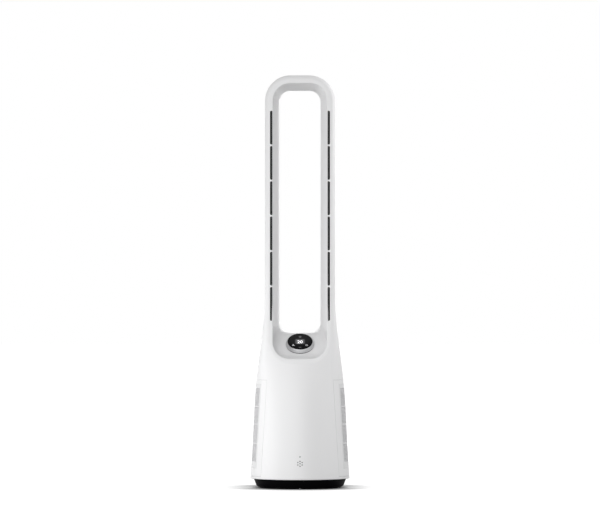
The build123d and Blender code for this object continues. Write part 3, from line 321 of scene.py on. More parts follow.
# ================================================================ what a user may change
class FanShellSettings(bpy.types.PropertyGroup):
    """Sizes and colours of the white mouldings."""
    wall: FloatProperty(name="Wall", description="Thickness of the moulded wall",
                        default=0.0024, min=0.001, max=0.003, unit="LENGTH", precision=4)
    seam: FloatProperty(name="Seam", description="Gap between two mouldings",
                        default=0.0004, min=0.0001, max=0.001, unit="LENGTH", precision=4)
    slot_width: FloatProperty(name="Slot width", description="Width of the outlet slots",
                              default=0.0057, min=0.002, max=0.006, unit="LENGTH", precision=4)
    white: FloatVectorProperty(name="White", description="Colour of the white plastic",
                               default=(0.80, 0.80, 0.805), size=3, min=0, max=1, subtype="COLOR")


class FanGrilleSettings(bpy.types.PropertyGroup):
    """Sizes and colour of the perforated side grilles."""
    hole: FloatProperty(name="Hole", description="Diameter of one hole",
                        default=0.0023, min=0.001, max=0.003, unit="LENGTH", precision=4)
    columns: IntProperty(name="Columns", description="Holes in one row",
                         default=30, min=10, max=40)
    rows: IntProperty(name="Rows", description="Rows of holes", default=58, min=20, max=70)
    plate: FloatProperty(name="Plate", description="Thickness of the perforated plate",
                         default=0.0014, min=0.0005, max=0.002, unit="LENGTH", precision=4)
    colour: FloatVectorProperty(name="Colour", description="Colour of the grille",
                                default=(0.67, 0.67, 0.68), size=3, min=0, max=1, subtype="COLOR")


class FanDisplaySettings(bpy.types.PropertyGroup):
    """What the dial's display shows and how bright it is."""
    number: IntProperty(name="Number", description="Temperature on the display",
                        default=20, min=0, max=99)
    digit_height: FloatProperty(name="Digit height", description="Height of one digit",
                                default=0.0098, min=0.006, max=0.016, unit="LENGTH", precision=4)
    glow: FloatProperty(name="Glow", description="Strength of the lit digits",
                        default=1.3, min=0, max=10)


class FanStageSettings(bpy.types.PropertyGroup):
    """Camera place and lamp power of the studio."""
    distance: FloatProperty(name="Distance", description="Camera to the fan's middle plane",
                            default=11.5, min=2, max=40, unit="LENGTH")
    key: FloatProperty(name="Key", description="Power of the low lamp at the left",
                       default=4.2, min=0, unit="POWER")
    front: FloatProperty(name="Front", description="Power of the broad lamp beside the camera",
                         default=62.0, min=0, unit="POWER")
    rim: FloatProperty(name="Rim", description="Power of the tall lamp at the right",
                       default=11.0, min=0, unit="POWER")
    back: FloatProperty(name="Back", description="Power of the broad lamp behind the fan",
                        default=26.0, min=0, unit="POWER")
    fill: FloatProperty(name="Fill", description="Strength of the light from all round",
                        default=0.48, min=0)


# ================================================================ curves
def fade(value, low, high):
    """0 below low, 1 above high and smooth between."""
    t = np.clip((value - low) / (high - low), 0.0, 1.0)
    return t * t * (3 - 2 * t)


def cubic(t, start, end, slope_start, slope_end):
    """Cubic from start to end over t 0 to 1, with slopes for the whole step."""
    a = start * (1 + 2 * t) * (1 - t) ** 2 + slope_start * t * (1 - t) ** 2
    return a + end * t * t * (3 - 2 * t) + slope_end * t * t * (t - 1)


def bend(start, corner, end, t):
    """Quadratic curve that rounds a corner; each argument but t is a point."""
    return (1 - t) ** 2 * start + 2 * t * (1 - t) * corner + t * t * end


def level(z):
    """Half width, half depth and roundness of the body at heights z."""
    rows = np.array(BODY_LEVELS)
    knots = rows[:, 0]
    values = rows[:, 1:]
    chord = np.diff(values, axis=0) / np.diff(knots)[:, None]
    slope = np.vstack([chord[:1], (chord[1:] + chord[:-1]) / 2, 0 * chord[:1]])
    z = np.asarray(z, float)
    k = np.clip(np.searchsorted(knots, z) - 1, 0, len(knots) - 2)
    step = (knots[k + 1] - knots[k])[..., None]
    t = np.clip((z - knots[k])[..., None] / step, 0, 1)
    out = cubic(t, values[k], values[k + 1], step * slope[k], step * slope[k + 1])
    return out[..., 0], out[..., 1], out[..., 2]


def rim_inset(z):
    """How far the rim's rounding draws the outline in at heights z."""
    drop = np.clip(RIM_Z + LIP_R - z, 0, LIP_R)
    return LIP_R - np.sqrt(LIP_R ** 2 - drop ** 2)


def envelope(place, z):
    """Points of the outer form. place is 0 at the front middle, 1 at the strip's crease, 2 to 3
    along the side, 4 where the back turns flat and 5 at the back middle."""
    place, z = np.broadcast_arrays(np.asarray(place, float), np.asarray(z, float))
    wide, deep, k = level(z)
    half, depth = LOOP_HALF_WIDTH, LOOP_HALF_DEPTH
    crease = STRIP_OUTER_X * half / wide
    kink = KINK_SLOPE * fade(z, KINK_GONE_Z, LOOP_FOOT_Z)
    part = np.clip(np.floor(place), 0, 4).astype(int)
    t = place - part

    # corner points of the loop's own outline, in order round the right half
    none = 0 * crease
    xs = [none, crease, half + none, half + none, REAR_FLAT_X + none, none]
    ys = [-depth, -depth, FRONT_CURVE_Y, REAR_CURVE_Y, depth, depth]
    turns = {1: (half, -depth + kink * (half - crease)),
             3: (half, depth - REAR_SLOPE * (half - REAR_FLAT_X))}
    lx = np.zeros_like(place)
    ly = np.zeros_like(place)
    lengths = []
    for i in range(5):
        here = part == i
        if i in turns:
            cx, cy = turns[i]
            first = np.hypot(cx - xs[i], cy - ys[i])
            second = np.hypot(xs[i + 1] - cx, ys[i + 1] - cy)
            straight = np.hypot(xs[i + 1] - xs[i], ys[i + 1] - ys[i])
            lengths.append((2 * straight + first + second) / 3)
            px = bend(xs[i], cx, xs[i + 1], t)
            py = bend(ys[i], cy, ys[i + 1], t)
        else:
            lengths.append(np.hypot(xs[i + 1] - xs[i], ys[i + 1] - ys[i]))
            px = xs[i] + (xs[i + 1] - xs[i]) * t
            py = ys[i] + (ys[i + 1] - ys[i]) * t
        lx = np.where(here, px, lx)
        ly = np.where(here, py, ly)

    # the same place on the ellipse, at an even pace along the outline
    start = np.arcsin(crease / half)
    knots = [start] + [turn + none for turn in (TURN_FRONT, TURN_SIDE, TURN_REAR, math.pi)]
    chords = [(knots[i + 1] - knots[i]) / lengths[i + 1] for i in range(4)]
    between = [(chords[i] + chords[i + 1]) / 2 for i in range(3)]
    slopes = [1 / (half * np.cos(start))] + between + [chords[3]]
    angle = np.arcsin(np.clip(t * crease / half, 0, 1))
    for i in range(4):
        run = lengths[i + 1]
        curve = cubic(t, knots[i], knots[i + 1], slopes[i] * run, slopes[i + 1] * run)
        angle = np.where(part == i + 1, curve, angle)

    inset = rim_inset(z)
    x = (wide - inset) * ((1 - k) * lx / half + k * np.sin(angle))
    y = (deep - inset) * ((1 - k) * ly / depth - k * np.cos(angle))
    return np.stack([x, y, z], axis=-1)


def front_face(x, z):
    """Depth of the outer form's front at places x within the strip's crease."""
    wide, deep, k = level(z)
    return -deep * (1 - k + k * np.sqrt(1 - (x / wide) ** 2))


def side_place(x, z, low, high):
    """Place between low and high where the outer form crosses x, found by halving."""
    low = np.full(np.shape(z), float(low))
    high = np.full(np.shape(z), float(high))
    rising = envelope(high, z)[..., 0] > envelope(low, z)[..., 0]
    for _ in range(HALVINGS):
        middle = (low + high) / 2
        before = (envelope(middle, z)[..., 0] < x) == rising
        low = np.where(before, middle, low)
        high = np.where(before, high, middle)
    return (low + high) / 2


def back_point(x, z):
    """Point of the outer form's back at a place across and a height."""
    return envelope(side_place(x, z, *BACK_PLACES), z)


def u_outline(q, half, floor, corner, dish=0.0):
    """Place (x, z) on a U: q is 0 to 1 along the floor, 1 to 2 round the corner and 2 to 3 up
    the side."""
    turn = np.clip(q - 1, 0, 1) * math.pi / 2
    x = np.clip(q, 0, 1) * (half - corner) + corner * np.sin(turn)
    z = floor + corner * (1 - np.cos(turn)) + dish * (x / half) ** 2
    return x, z + np.clip(q - 2, 0, 1) * (LOOP_FOOT_Z - z)


def well_point(q, y):
    """Point of the loop's lower opening at outline place q and depth y."""
    q, y = np.broadcast_arrays(np.asarray(q, float), np.asarray(y, float))
    depths, floors, corners = np.array(WELL_STATIONS).T
    offsets = np.linspace(-WELL_BLEND, WELL_BLEND, BLEND_SAMPLES)
    floor = sum(np.interp(y + o, depths, floors) for o in offsets) / len(offsets)
    corner = sum(np.interp(y + o, depths, corners) for o in offsets) / len(offsets)
    inside_y = np.clip(y, -LOOP_HALF_DEPTH, LOOP_HALF_DEPTH)
    share = (LOOP_HALF_DEPTH - inside_y) / (2 * LOOP_HALF_DEPTH)
    half = INNER_REAR_X + (INNER_FRONT_X - INNER_REAR_X) * share
    dish = WELL_DISH * fade(y, DISH_FROM_Y, LOOP_HALF_DEPTH)
    x, z = u_outline(q, half, floor, corner, dish)
    return np.stack([x, y, z], axis=-1)


# ================================================================ the skin of the shells
def opening_rows(q):
    """Rows of points across the opening's edge, from the strip's crease through the band, the
    front edge, the well's wall and the rear edge to the back face."""
    crease_x, crease_z = u_outline(q, STRIP_OUTER_X, EDGE_FLOOR_Z, EDGE_CORNER_R)
    crease = np.stack([crease_x, front_face(crease_x, crease_z), crease_z], axis=-1)
    recess = np.interp(q, BAND_PLACES, BAND_RECESS)
    y = np.full(q.shape, EDGE_START_Y)
    for _ in range(EDGE_SEARCHES):
        edge = well_point(q, y)
        y = front_face(edge[:, 0], edge[:, 2]) + recess
    edge = well_point(q, y)
    leg = np.interp(q, BAND_PLACES, FRONT_EDGE_LEGS)[:, None]
    toward = crease - edge
    band_end = edge + toward / np.linalg.norm(toward, axis=1)[:, None] * leg
    wall_start_y = y + leg[:, 0]
    rear = well_point(q, BEHIND_Y)
    rear_edge = back_point(rear[:, 0], rear[:, 2])
    wall_end_y = rear_edge[:, 1] - REAR_EDGE_LEG
    outside = back_point(*rear_outline(q))

    rows = [crease + (band_end - crease) * t for t in BAND_ROWS]
    wall_start = well_point(q, wall_start_y)
    rows += [bend(band_end, edge, wall_start, t) for t in np.linspace(0, 1, FRONT_EDGE_ROWS)]
    for t in np.linspace(0, 1, WALL_STEPS + 1)[1:-1]:
        rows.append(well_point(q, wall_start_y + (wall_end_y - wall_start_y) * t))
    wall_end = well_point(q, wall_end_y)
    rows += [bend(wall_end, rear_edge, outside, t) for t in np.linspace(0, 1, REAR_EDGE_ROWS)]
    return np.stack(rows, axis=1)


def rear_outline(q):
    """Place (x, z) on the back face where the rounding of the opening's rear edge ends."""
    _, floor, corner = WELL_STATIONS[-1]
    return u_outline(q, INNER_REAR_X + REAR_EDGE_LEG, floor - REAR_EDGE_LEG,
                     corner + REAR_EDGE_LEG, WELL_DISH)


def places_along(ends, counts):
    """Places along an outline, with a count of even ones from each end to the next."""
    runs = [np.linspace(low, high, count) for low, high, count in zip(ends, ends[1:], counts)]
    return np.concatenate([run[:-1] for run in runs[:-1]] + [runs[-1]])


def outline_places():
    """Places q down the opening's outline, closer together round the corner."""
    return places_along((0, 1, 2, 3), OPENING_COUNTS)


def section_places():
    """Places along the outer form between the crease and the back, for the loop's section."""
    last_x, last_z = rear_outline(np.array([3.0]))
    end = float(side_place(last_x, last_z, *BACK_PLACES)[0])
    return places_along((1, 2, 3, 4, end), SECTION_COUNTS)


def body_grid():
    """Right half of the flaring body, from the rim up to the opening and the loop's foot."""
    q = outline_places()
    front_x, front_z = u_outline(q, STRIP_OUTER_X, EDGE_FLOOR_Z, EDGE_CORNER_R)
    sides = section_places()
    rear_x, rear_z = rear_outline(q[::-1])
    rear = side_place(rear_x, rear_z, *BACK_PLACES)
    top_place = np.concatenate([front_x / STRIP_OUTER_X, sides[1:], rear[1:]])
    top_z = np.concatenate([front_z, np.full(len(sides) - 1, LOOP_FOOT_Z), rear_z[1:]])
    low_front = np.interp(q, (0, 2, 3), FOOT_FRONT)
    side_run = FOOT_REAR[-1] - FOOT_FRONT[-1]
    low_sides = FOOT_FRONT[-1] + side_run * (sides[1:] - 1) / (sides[-1] - 1)
    low_rear = np.interp(q[::-1], (0, 2, 3), FOOT_REAR)[1:]
    low_place = np.concatenate([low_front, low_sides, low_rear])
    low_z = RIM_Z + LIP_R
    rise = (1 - (1 - np.linspace(0, 1, BODY_ROWS)) ** ROW_SPREAD)[:, None]
    turn = rise ** COLUMN_TURN
    place = low_place * (1 - turn) + top_place * turn
    z = low_z * (1 - rise) + top_z * rise
    lip_turns = np.linspace(0, math.pi / 2, LIP_ROWS)[:-1, None]
    lip_z = RIM_Z + LIP_R * (1 - np.cos(lip_turns))
    lip = envelope(np.broadcast_to(low_place, (len(lip_z), len(low_place))), lip_z)
    return np.concatenate([lip, envelope(place, z)])


def loop_grid():
    """Right half of the loop, as rings of the limb's section along its path."""
    outer = envelope(section_places(), LOOP_FOOT_Z)
    inner = opening_rows(np.array([3.0]))[0][::-1]
    section = np.concatenate([outer, inner[1:]])
    across, depth = section[:, 0], section[:, 1]
    rings = [np.stack([across, depth, np.full_like(across, z)], axis=1)
             for z in np.linspace(LOOP_FOOT_Z, ARCH_CENTRE_Z, LIMB_RINGS)]
    reach = across - ARCH_CENTRE_X
    for turn in np.linspace(0, math.pi / 2, ARCH_STEPS + 1)[1:]:
        rings.append(np.stack([ARCH_CENTRE_X + reach * math.cos(turn), depth,
                               ARCH_CENTRE_Z + reach * math.sin(turn)], axis=1))
    for x in np.linspace(ARCH_CENTRE_X, 0, TOP_RINGS)[1:]:
        rings.append(np.stack([np.full_like(across, x), depth, ARCH_CENTRE_Z + reach], axis=1))
    return np.stack(rings)


def join_rows(bm, rows):
    """Adds the faces between rows with as many points each."""
    for row, above in zip(rows, rows[1:]):
        for i in range(len(row) - 1):
            bm.faces.new((row[i], row[i + 1], above[i + 1], above[i]))


def join_rings(bm, rings):
    """Adds the faces between closed rings with as many points each. A ring may be one point."""
    for ring, following in zip(rings, rings[1:]):
        for i in range(len(ring)):
            j = (i + 1) % len(ring)
            corners = list(dict.fromkeys((ring[i], ring[j], following[j], following[i])))
            if len(corners) > 2:
                bm.faces.new(corners)


def face_outwards(bm):
    """Makes all faces agree, with the outermost one pointing away from the middle plane."""
    bmesh.ops.recalc_face_normals(bm, faces=bm.faces)
    bm.normal_update()
    outer = max(bm.faces, key=lambda f: f.calc_center_median().x)
    if outer.normal.x < 0:
        bmesh.ops.reverse_faces(bm, faces=bm.faces)


def skin_half():
    """The right half of the white shells as one open skin."""
    bm = bmesh.new()
    for grid in (body_grid(), loop_grid(), opening_rows(outline_places())):
        join_rows(bm, [[bm.verts.new(p) for p in row] for row in grid])
    bmesh.ops.remove_doubles(bm, verts=bm.verts, dist=MERGE)
    bmesh.ops.dissolve_degenerate(bm, edges=bm.edges, dist=MERGE)
    face_outwards(bm)
    return bm


def leaning_plane(top, bottom):
    """Point and outward normal of a plane through two places (x, z), parallel to Y."""
    run = Vector((top[1] - bottom[1], 0, bottom[0] - top[0])).normalized()
    return Vector((top[0], 0, top[1])), run


def cut_faces(bm, chosen, point, normal):
    """Cuts the chosen faces, a test of their middle, along a plane."""
    faces = [f for f in bm.faces if chosen(f.calc_center_median())]
    geom = set(faces) | {e for f in faces for e in f.edges} | {v for f in faces for v in f.verts}
    bmesh.ops.bisect_plane(bm, geom=list(geom), plane_co=point, plane_no=normal, dist=CUT_SNAP)


def cut_skin(bm, gap):
    """Cuts the skin along the split, the cover's seams and the window's edges. Returns the name
    of the piece that each face belongs to."""
    half = gap / 2
    seam, seam_out = leaning_plane(SEAM_TOP, SEAM_BOTTOM)
    window, window_out = leaning_plane(WINDOW_TOP, WINDOW_BOTTOM)
    up, back = Vector((0, 0, 1)), Vector((0, 1, 0))
    planes = [(Vector((0, SPLIT_Y, 0)), back, half, HEIGHT)]
    for corners, point, out, offset, reach in (
            ((SEAM_TOP, SEAM_BOTTOM), seam, seam_out, half, CUT_TOP_Z),
            ((WINDOW_TOP, WINDOW_BOTTOM), window, window_out, 0, SEAM_TOP[1])):
        planes += [(Vector((0, 0, height)), up, offset, reach) for _, height in corners]
        planes += [(point, out, offset, reach)]
    for point, normal, offset, reach in planes:
        for side in ((-offset, offset) if offset else (0,)):
            cut_faces(bm, lambda c: c.z < reach, point + normal * side, normal)
    names = {}
    for f in bm.faces:
        c = f.calc_center_median()
        across = (c - seam).dot(seam_out)
        below, above = SEAM_TOP[1] - c.z, c.z - SEAM_BOTTOM[1]
        inside = min(across, below, above)
        in_height = WINDOW_BOTTOM[1] < c.z < WINDOW_TOP[1]
        if inside > half:
            in_window = (c - window).dot(window_out) > 0 and in_height
            names[f] = "window" if in_window else "cover"
        elif inside > -half or abs(c.y - SPLIT_Y) < half:
            names[f] = "gap"
        else:
            names[f] = "front" if c.y < SPLIT_Y else "rear"
    return names


def take_piece(bm, names, wanted):
    """A copy of the skin that holds only one piece's faces."""
    bm.faces.ensure_lookup_table()
    bm.faces.index_update()
    kept = {f.index for f, name in names.items() if name == wanted}
    piece = bm.copy()
    piece.faces.ensure_lookup_table()
    bmesh.ops.delete(piece, geom=[f for f in piece.faces if f.index not in kept], context="FACES")
    bmesh.ops.remove_doubles(piece, verts=piece.verts, dist=WELD)
    return piece


def mirror(bm):
    """Turns a right piece into the left one."""
    for v in bm.verts:
        v.co.x = -v.co.x
    bmesh.ops.reverse_faces(bm, faces=bm.faces)


def mirror_whole(bm):
    """Adds the left half to a right half and joins them on the middle plane."""
    geom = list(bm.verts) + list(bm.edges) + list(bm.faces)
    twin = bmesh.ops.duplicate(bm, geom=geom)["geom"]
    flipped = [g for g in twin if isinstance(g, bmesh.types.BMFace)]
    for g in twin:
        if isinstance(g, bmesh.types.BMVert):
            g.co.x = -g.co.x
    bmesh.ops.reverse_faces(bm, faces=flipped)
    bmesh.ops.remove_doubles(bm, verts=bm.verts, dist=WELD)


# ================================================================ mesh helpers
def new_object(name, mesh):
    piece = bpy.data.objects.new(name, mesh)
    bpy.context.scene.collection.objects.link(piece)
    return piece


def to_object(name, bm, smooth=True):
    """Makes an object of a mesh under construction, smooth but for its sharp edges."""
    mesh = bpy.data.meshes.new(name)
    bm.to_mesh(mesh)
    bm.free()
    if smooth:
        shade(mesh)
    return new_object(name, mesh)


def solid(name, bm):
    """Makes an object of closed shapes, with their faces turned outwards."""
    bmesh.ops.recalc_face_normals(bm, faces=bm.faces)
    return to_object(name, bm)


def shade(mesh):
    mesh.shade_smooth()
    mesh.set_sharp_from_angle(angle=CREASE)


def evaluated_mesh(piece):
    """A mesh of what a piece's modifiers or lettering make."""
    graph = bpy.context.evaluated_depsgraph_get()
    return bpy.data.meshes.new_from_object(piece.evaluated_get(graph))


def settle(piece):
    """Turns a piece's modifiers into plain mesh."""
    mesh = evaluated_mesh(piece)
    piece.modifiers.clear()
    piece.data = mesh
    shade(mesh)
    return piece


def thicken(bm, wall):
    """Gives a skin its wall, inwards, and closes it along its edges. Small faces count little in
    the direction that a point moves in, so that slivers don't turn it."""
    bm.normal_update()
    faces = list(bm.faces)
    edges = [e for e in bm.edges if e.is_boundary]
    inner = {}
    for v in list(bm.verts):
        areas = [f.calc_area() for f in v.link_faces]
        total = sum((f.normal * area for f, area in zip(v.link_faces, areas)), Vector())
        factor = min(sum(areas) / max(total.length, NO_AREA), SHELL_LIMIT)
        inner[v] = bm.verts.new(v.co - total.normalized() * wall * factor)
    for f in faces:
        bm.faces.new([inner[v] for v in reversed(f.verts)])
    for e in edges:
        b, a = e.link_loops[0].vert, e.link_loops[0].link_loop_next.vert
        bm.faces.new((a, b, inner[b], inner[a]))
    return bm


def carve(piece, cutters):
    """Takes the cutters' shapes out of a piece and removes them."""
    tool = to_object(piece.name + "_cutters", cutters)
    cut = piece.modifiers.new("cut", "BOOLEAN")
    cut.operation = "DIFFERENCE"
    cut.solver = "EXACT"
    cut.object = tool
    settle(piece)
    bpy.data.objects.remove(tool)
    return piece


def add_prism(bm, outline, matrix, low, high):
    """Adds a closed prism: an outline of (x, y) places raised from low to high, then placed."""
    rings = [[bm.verts.new(matrix @ Vector((x, y, h))) for x, y in outline] for h in (low, high)]
    join_rings(bm, rings)
    bm.faces.new(rings[0][::-1])
    bm.faces.new(rings[1])


def circle_outline(radius, count, centre=(0.0, 0.0)):
    return [(centre[0] + radius * math.cos(2 * math.pi * i / count),
             centre[1] + radius * math.sin(2 * math.pi * i / count)) for i in range(count)]


def stadium_outline(length, width, steps=8):
    """A round-ended slot along the second axis."""
    r = width / 2
    straight = length / 2 - r
    ends = [(straight, 0.0), (-straight, math.pi)]
    turns = [(middle, first + math.pi * i / steps)
             for middle, first in ends for i in range(steps + 1)]
    return [(r * math.cos(turn), middle + r * math.sin(turn)) for middle, turn in turns]


def dial_matrix():
    """Places something drawn round Z on the dial's own axis."""
    return Matrix.Translation(Vector(DIAL_FOOT)) @ Matrix.Rotation(DIAL_TILT, 4, "X")


def upright_matrix(x, z):
    """Places an outline drawn in (x, y) upright, so that its height runs along Y."""
    return Matrix.Translation(Vector((x, 0, z))) @ Matrix.Rotation(math.radians(90), 4, "X")


def lathe(name, profile, matrix=None, steps=96):
    """A closed solid of revolution from a closed profile of (radius, height) places."""
    bm = bmesh.new()
    matrix = matrix or Matrix.Identity(4)
    rings = []
    for r, h in profile:
        if r < AXIS_R:
            rings.append([bm.verts.new(matrix @ Vector((0, 0, h)))] * steps)
            continue
        rings.append([bm.verts.new(matrix @ Vector((r * math.cos(a), r * math.sin(a), h)))
                      for a in np.linspace(0, 2 * math.pi, steps, endpoint=False)])
    join_rings(bm, rings + rings[:1])
    return solid(name, bm)


def add_tube(bm, outer, inner, matrix, low, high):
    """Adds a closed tube between two outlines with as many points each."""
    rings = [[bm.verts.new(matrix @ Vector((x, y, h))) for x, y in outline]
             for outline, h in ((outer, low), (outer, high), (inner, high), (inner, low))]
    join_rings(bm, rings + rings[:1])


def rounded_profile(points, steps=5):
    """A closed profile whose corners are rounded: points of (radius, height, rounding)."""
    out = []
    count = len(points)
    for i, (radius, height, rounding) in enumerate(points):
        here = np.array((radius, height))
        if rounding == 0:
            out.append(tuple(here))
            continue
        before = np.array(points[i - 1][:2]) - here
        after = np.array(points[(i + 1) % count][:2]) - here
        start = here + before / np.linalg.norm(before) * rounding
        end = here + after / np.linalg.norm(after) * rounding
        out += [tuple(bend(start, here, end, t)) for t in np.linspace(0, 1, steps)]
    return out


def join(name, pieces):
    """Joins several objects into one."""
    bm = bmesh.new()
    for piece in pieces:
        bm.from_mesh(piece.data)
        bpy.data.objects.remove(piece)
    return to_object(name, bm)


def seat(piece, body, material, slot, *nodes):
    """Finishes a piece: its material, the body it rides on and the nodes it stands for."""
    piece.data.materials.clear()
    piece.data.materials.append(finish(material))
    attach(piece, body)
    if nodes:
        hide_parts(*nodes)
    return piece


# ================================================================ finishes
COLOUR = "NodeSocketColor"
NUMBER = "NodeSocketFloat"


def put(tree, kind, settings=None, **inputs):
    """Adds a node. Settings are its own values, inputs are sockets by name with _ for a space."""
    made = tree.nodes.new(kind)
    for key, value in (settings or {}).items():
        setattr(made, key, value)
    for key, value in inputs.items():
        connect(tree, made.inputs[key.replace("_", " ")], value)
    return made


def connect(tree, socket, value):
    if isinstance(value, bpy.types.NodeSocket):
        tree.links.new(value, socket)
    else:
        socket.default_value = value


def maths(tree, operation, *values, clamp=False):
    made = tree.nodes.new("ShaderNodeMath")
    made.operation = operation
    made.use_clamp = clamp
    for socket, value in zip(made.inputs, values):
        connect(tree, socket, value)
    return made.outputs[0]


def remap(tree, value, low, high, to_low, to_high):
    """Value from one range to another, smooth at the ends."""
    made = put(tree, "ShaderNodeMapRange", {"interpolation_type": "SMOOTHSTEP"}, Value=value)
    numbers = {"From Min": low, "From Max": high, "To Min": to_low, "To Max": to_high}
    for key, number in numbers.items():
        made.inputs[key].default_value = number
    return made.outputs["Result"]


def effect(name, inputs, outputs):
    """A shader node group with its sockets, ready to be filled."""
    tree = bpy.data.node_groups.new(name, "ShaderNodeTree")
    for label, kind, default in inputs:
        socket = tree.interface.new_socket(label, in_out="INPUT", socket_type=kind)
        socket.default_value = default
    for label, kind in outputs:
        tree.interface.new_socket(label, in_out="OUTPUT", socket_type=kind)
    return tree, tree.nodes.new("NodeGroupInput").outputs, tree.nodes.new("NodeGroupOutput").inputs


def object_place(tree):
    return tree.nodes.new("ShaderNodeTexCoord").outputs["Object"]


def noise(tree, place, scale, detail, roughness=0.5, **own):
    """Value of a noise texture at a place."""
    made = put(tree, "ShaderNodeTexNoise", own, Vector=place, Scale=scale, Detail=detail,
               Roughness=roughness)
    return made.outputs["Fac"]


def centred(tree, value):
    """Moves a value that swings round one half to swing round 0."""
    return maths(tree, "SUBTRACT", value, 0.5)


def scaled_colour(tree, colour, factor):
    """Colour times a number that changes over the surface."""
    made = put(tree, "ShaderNodeVectorMath", {"operation": "SCALE"}, Scale=factor)
    connect(tree, made.inputs[0], colour)
    return made.outputs[0]


def moulded_group():
    """Fine spark-eroded grain, with slow patches in tone and gloss, as on moulded plastic."""
    tree, given, out = effect(
        "moulded_surface",
        [("Colour", COLOUR, (0.8, 0.8, 0.8, 1)), ("Grain Scale", NUMBER, 2500.0),
         ("Tone", NUMBER, 0.03), ("Gloss", NUMBER, 0.4), ("Gloss Spread", NUMBER, 0.05)],
        [("Colour", COLOUR), ("Roughness", NUMBER), ("Height", NUMBER)])
    place = object_place(tree)
    grain = noise(tree, place, given["Grain Scale"], 3.0, 0.6)
    patch = noise(tree, place, 9.0, 2.0)
    smear = noise(tree, place, 60.0, 4.0, 0.7)
    tone = maths(tree, "MULTIPLY_ADD", centred(tree, patch), given["Tone"], 1.0)
    spread = maths(tree, "MULTIPLY", centred(tree, smear), given["Gloss Spread"])
    connect(tree, out["Colour"], scaled_colour(tree, given["Colour"], tone))
    connect(tree, out["Roughness"], maths(tree, "ADD", given["Gloss"], spread, clamp=True))
    connect(tree, out["Height"], grain)
    return tree


def brushed_group():
    """Fine turned or drawn lines, as on metal."""
    tree, given, out = effect(
        "drawn_metal",
        [("Colour", COLOUR, (0.6, 0.6, 0.6, 1)), ("Across", NUMBER, 4000.0),
         ("Along", NUMBER, 90.0), ("Gloss", NUMBER, 0.3)],
        [("Colour", COLOUR), ("Roughness", NUMBER), ("Height", NUMBER)])
    place = object_place(tree)
    parts = put(tree, "ShaderNodeSeparateXYZ", Vector=place).outputs
    stretched = put(tree, "ShaderNodeCombineXYZ",
                    **{axis: maths(tree, "MULTIPLY", parts[axis], given[run])
                       for axis, run in (("X", "Along"), ("Y", "Along"), ("Z", "Across"))})
    lines = noise(tree, stretched.outputs[0], 1.0, 3.0)
    tone = maths(tree, "MULTIPLY_ADD", noise(tree, place, 120.0, 3.0), 0.12, 0.94)
    gloss = maths(tree, "MULTIPLY_ADD", centred(tree, lines), 0.16, given["Gloss"])
    connect(tree, out["Colour"], scaled_colour(tree, given["Colour"], tone))
    connect(tree, out["Roughness"], gloss)
    connect(tree, out["Height"], lines)
    return tree


def fibre_group():
    """Matted fibres with darker specks, as on filter paper and foam."""
    tree, given, out = effect(
        "matted_fibre",
        [("Colour", COLOUR, (0.8, 0.8, 0.78, 1)), ("Scale", NUMBER, 1800.0),
         ("Depth", NUMBER, 0.25)],
        [("Colour", COLOUR), ("Height", NUMBER)])
    place = object_place(tree)
    fibres = noise(tree, place, given["Scale"], 4.0, noise_type="RIDGED_MULTIFRACTAL")
    blotch = noise(tree, place, 250.0, 3.0)
    both = maths(tree, "MULTIPLY", fibres, blotch, clamp=True)
    lowest = maths(tree, "SUBTRACT", 1.0, given["Depth"])
    tone = maths(tree, "MULTIPLY_ADD", both, given["Depth"], lowest)
    connect(tree, out["Colour"], scaled_colour(tree, given["Colour"], tone))
    connect(tree, out["Height"], both)
    return tree


def print_group():
    """Copper tracks and pads under lacquer, as on a circuit board."""
    tree, given, out = effect(
        "board_print",
        [("Lacquer", COLOUR, (0.008, 0.05, 0.022, 1)), ("Track", COLOUR, (0.03, 0.13, 0.05, 1))],
        [("Colour", COLOUR), ("Height", NUMBER)])
    place = object_place(tree)
    tracks = put(tree, "ShaderNodeTexBrick", Vector=place, Scale=180.0, Mortar_Size=0.05,
                 Color1=(0, 0, 0, 1), Color2=(0, 0, 0, 1), Mortar=(1, 1, 1, 1))
    pads = put(tree, "ShaderNodeTexVoronoi", Vector=place, Scale=240.0)
    pad = remap(tree, pads.outputs["Distance"], 0.16, 0.22, 1.0, 0.0)
    mask = maths(tree, "MAXIMUM", tracks.outputs["Color"], pad)
    mixed = put(tree, "ShaderNodeMix", {"data_type": "RGBA"})
    connect(tree, mixed.inputs["Factor"], mask)
    connect(tree, mixed.inputs["A"], given["Lacquer"])
    connect(tree, mixed.inputs["B"], given["Track"])
    connect(tree, out["Colour"], mixed.outputs["Result"])
    connect(tree, out["Height"], mask)
    return tree


GROUP_MAKERS = {"moulded_surface": moulded_group, "drawn_metal": brushed_group,
                "matted_fibre": fibre_group, "board_print": print_group}


def group_in(tree, name, **inputs):
    """Places a shared effect in a material, with the material's own values."""
    made = tree.nodes.new("ShaderNodeGroup")
    made.node_tree = bpy.data.node_groups.get(name) or GROUP_MAKERS[name]()
    for key, value in inputs.items():
        connect(tree, made.inputs[key.replace("_", " ")], value)
    return made.outputs


def blank(name, **sockets):
    """A material with its shader; sockets are the shader's constant values by name."""
    material = bpy.data.materials.new(name)
    material.use_nodes = True
    shader = material.node_tree.nodes["Principled BSDF"]
    for key, value in sockets.items():
        shader.inputs[key.replace("_", " ")].default_value = value
    return material, material.node_tree, shader


def surfaced(name, effect_name, relief, depth, given, **sockets):
    """A material whose colour, roughness and relief come from a shared effect. relief is the
    strength of the effect's height and depth its real size."""
    material, tree, shader = blank(name, **sockets)
    surface = group_in(tree, effect_name, **given)
    connect(tree, shader.inputs["Base Color"], surface["Colour"])
    if "Roughness" in surface:
        connect(tree, shader.inputs["Roughness"], surface["Roughness"])
    raised = put(tree, "ShaderNodeBump", Strength=relief, Distance=depth, Height=surface["Height"])
    connect(tree, shader.inputs["Normal"], raised.outputs["Normal"])
    return material


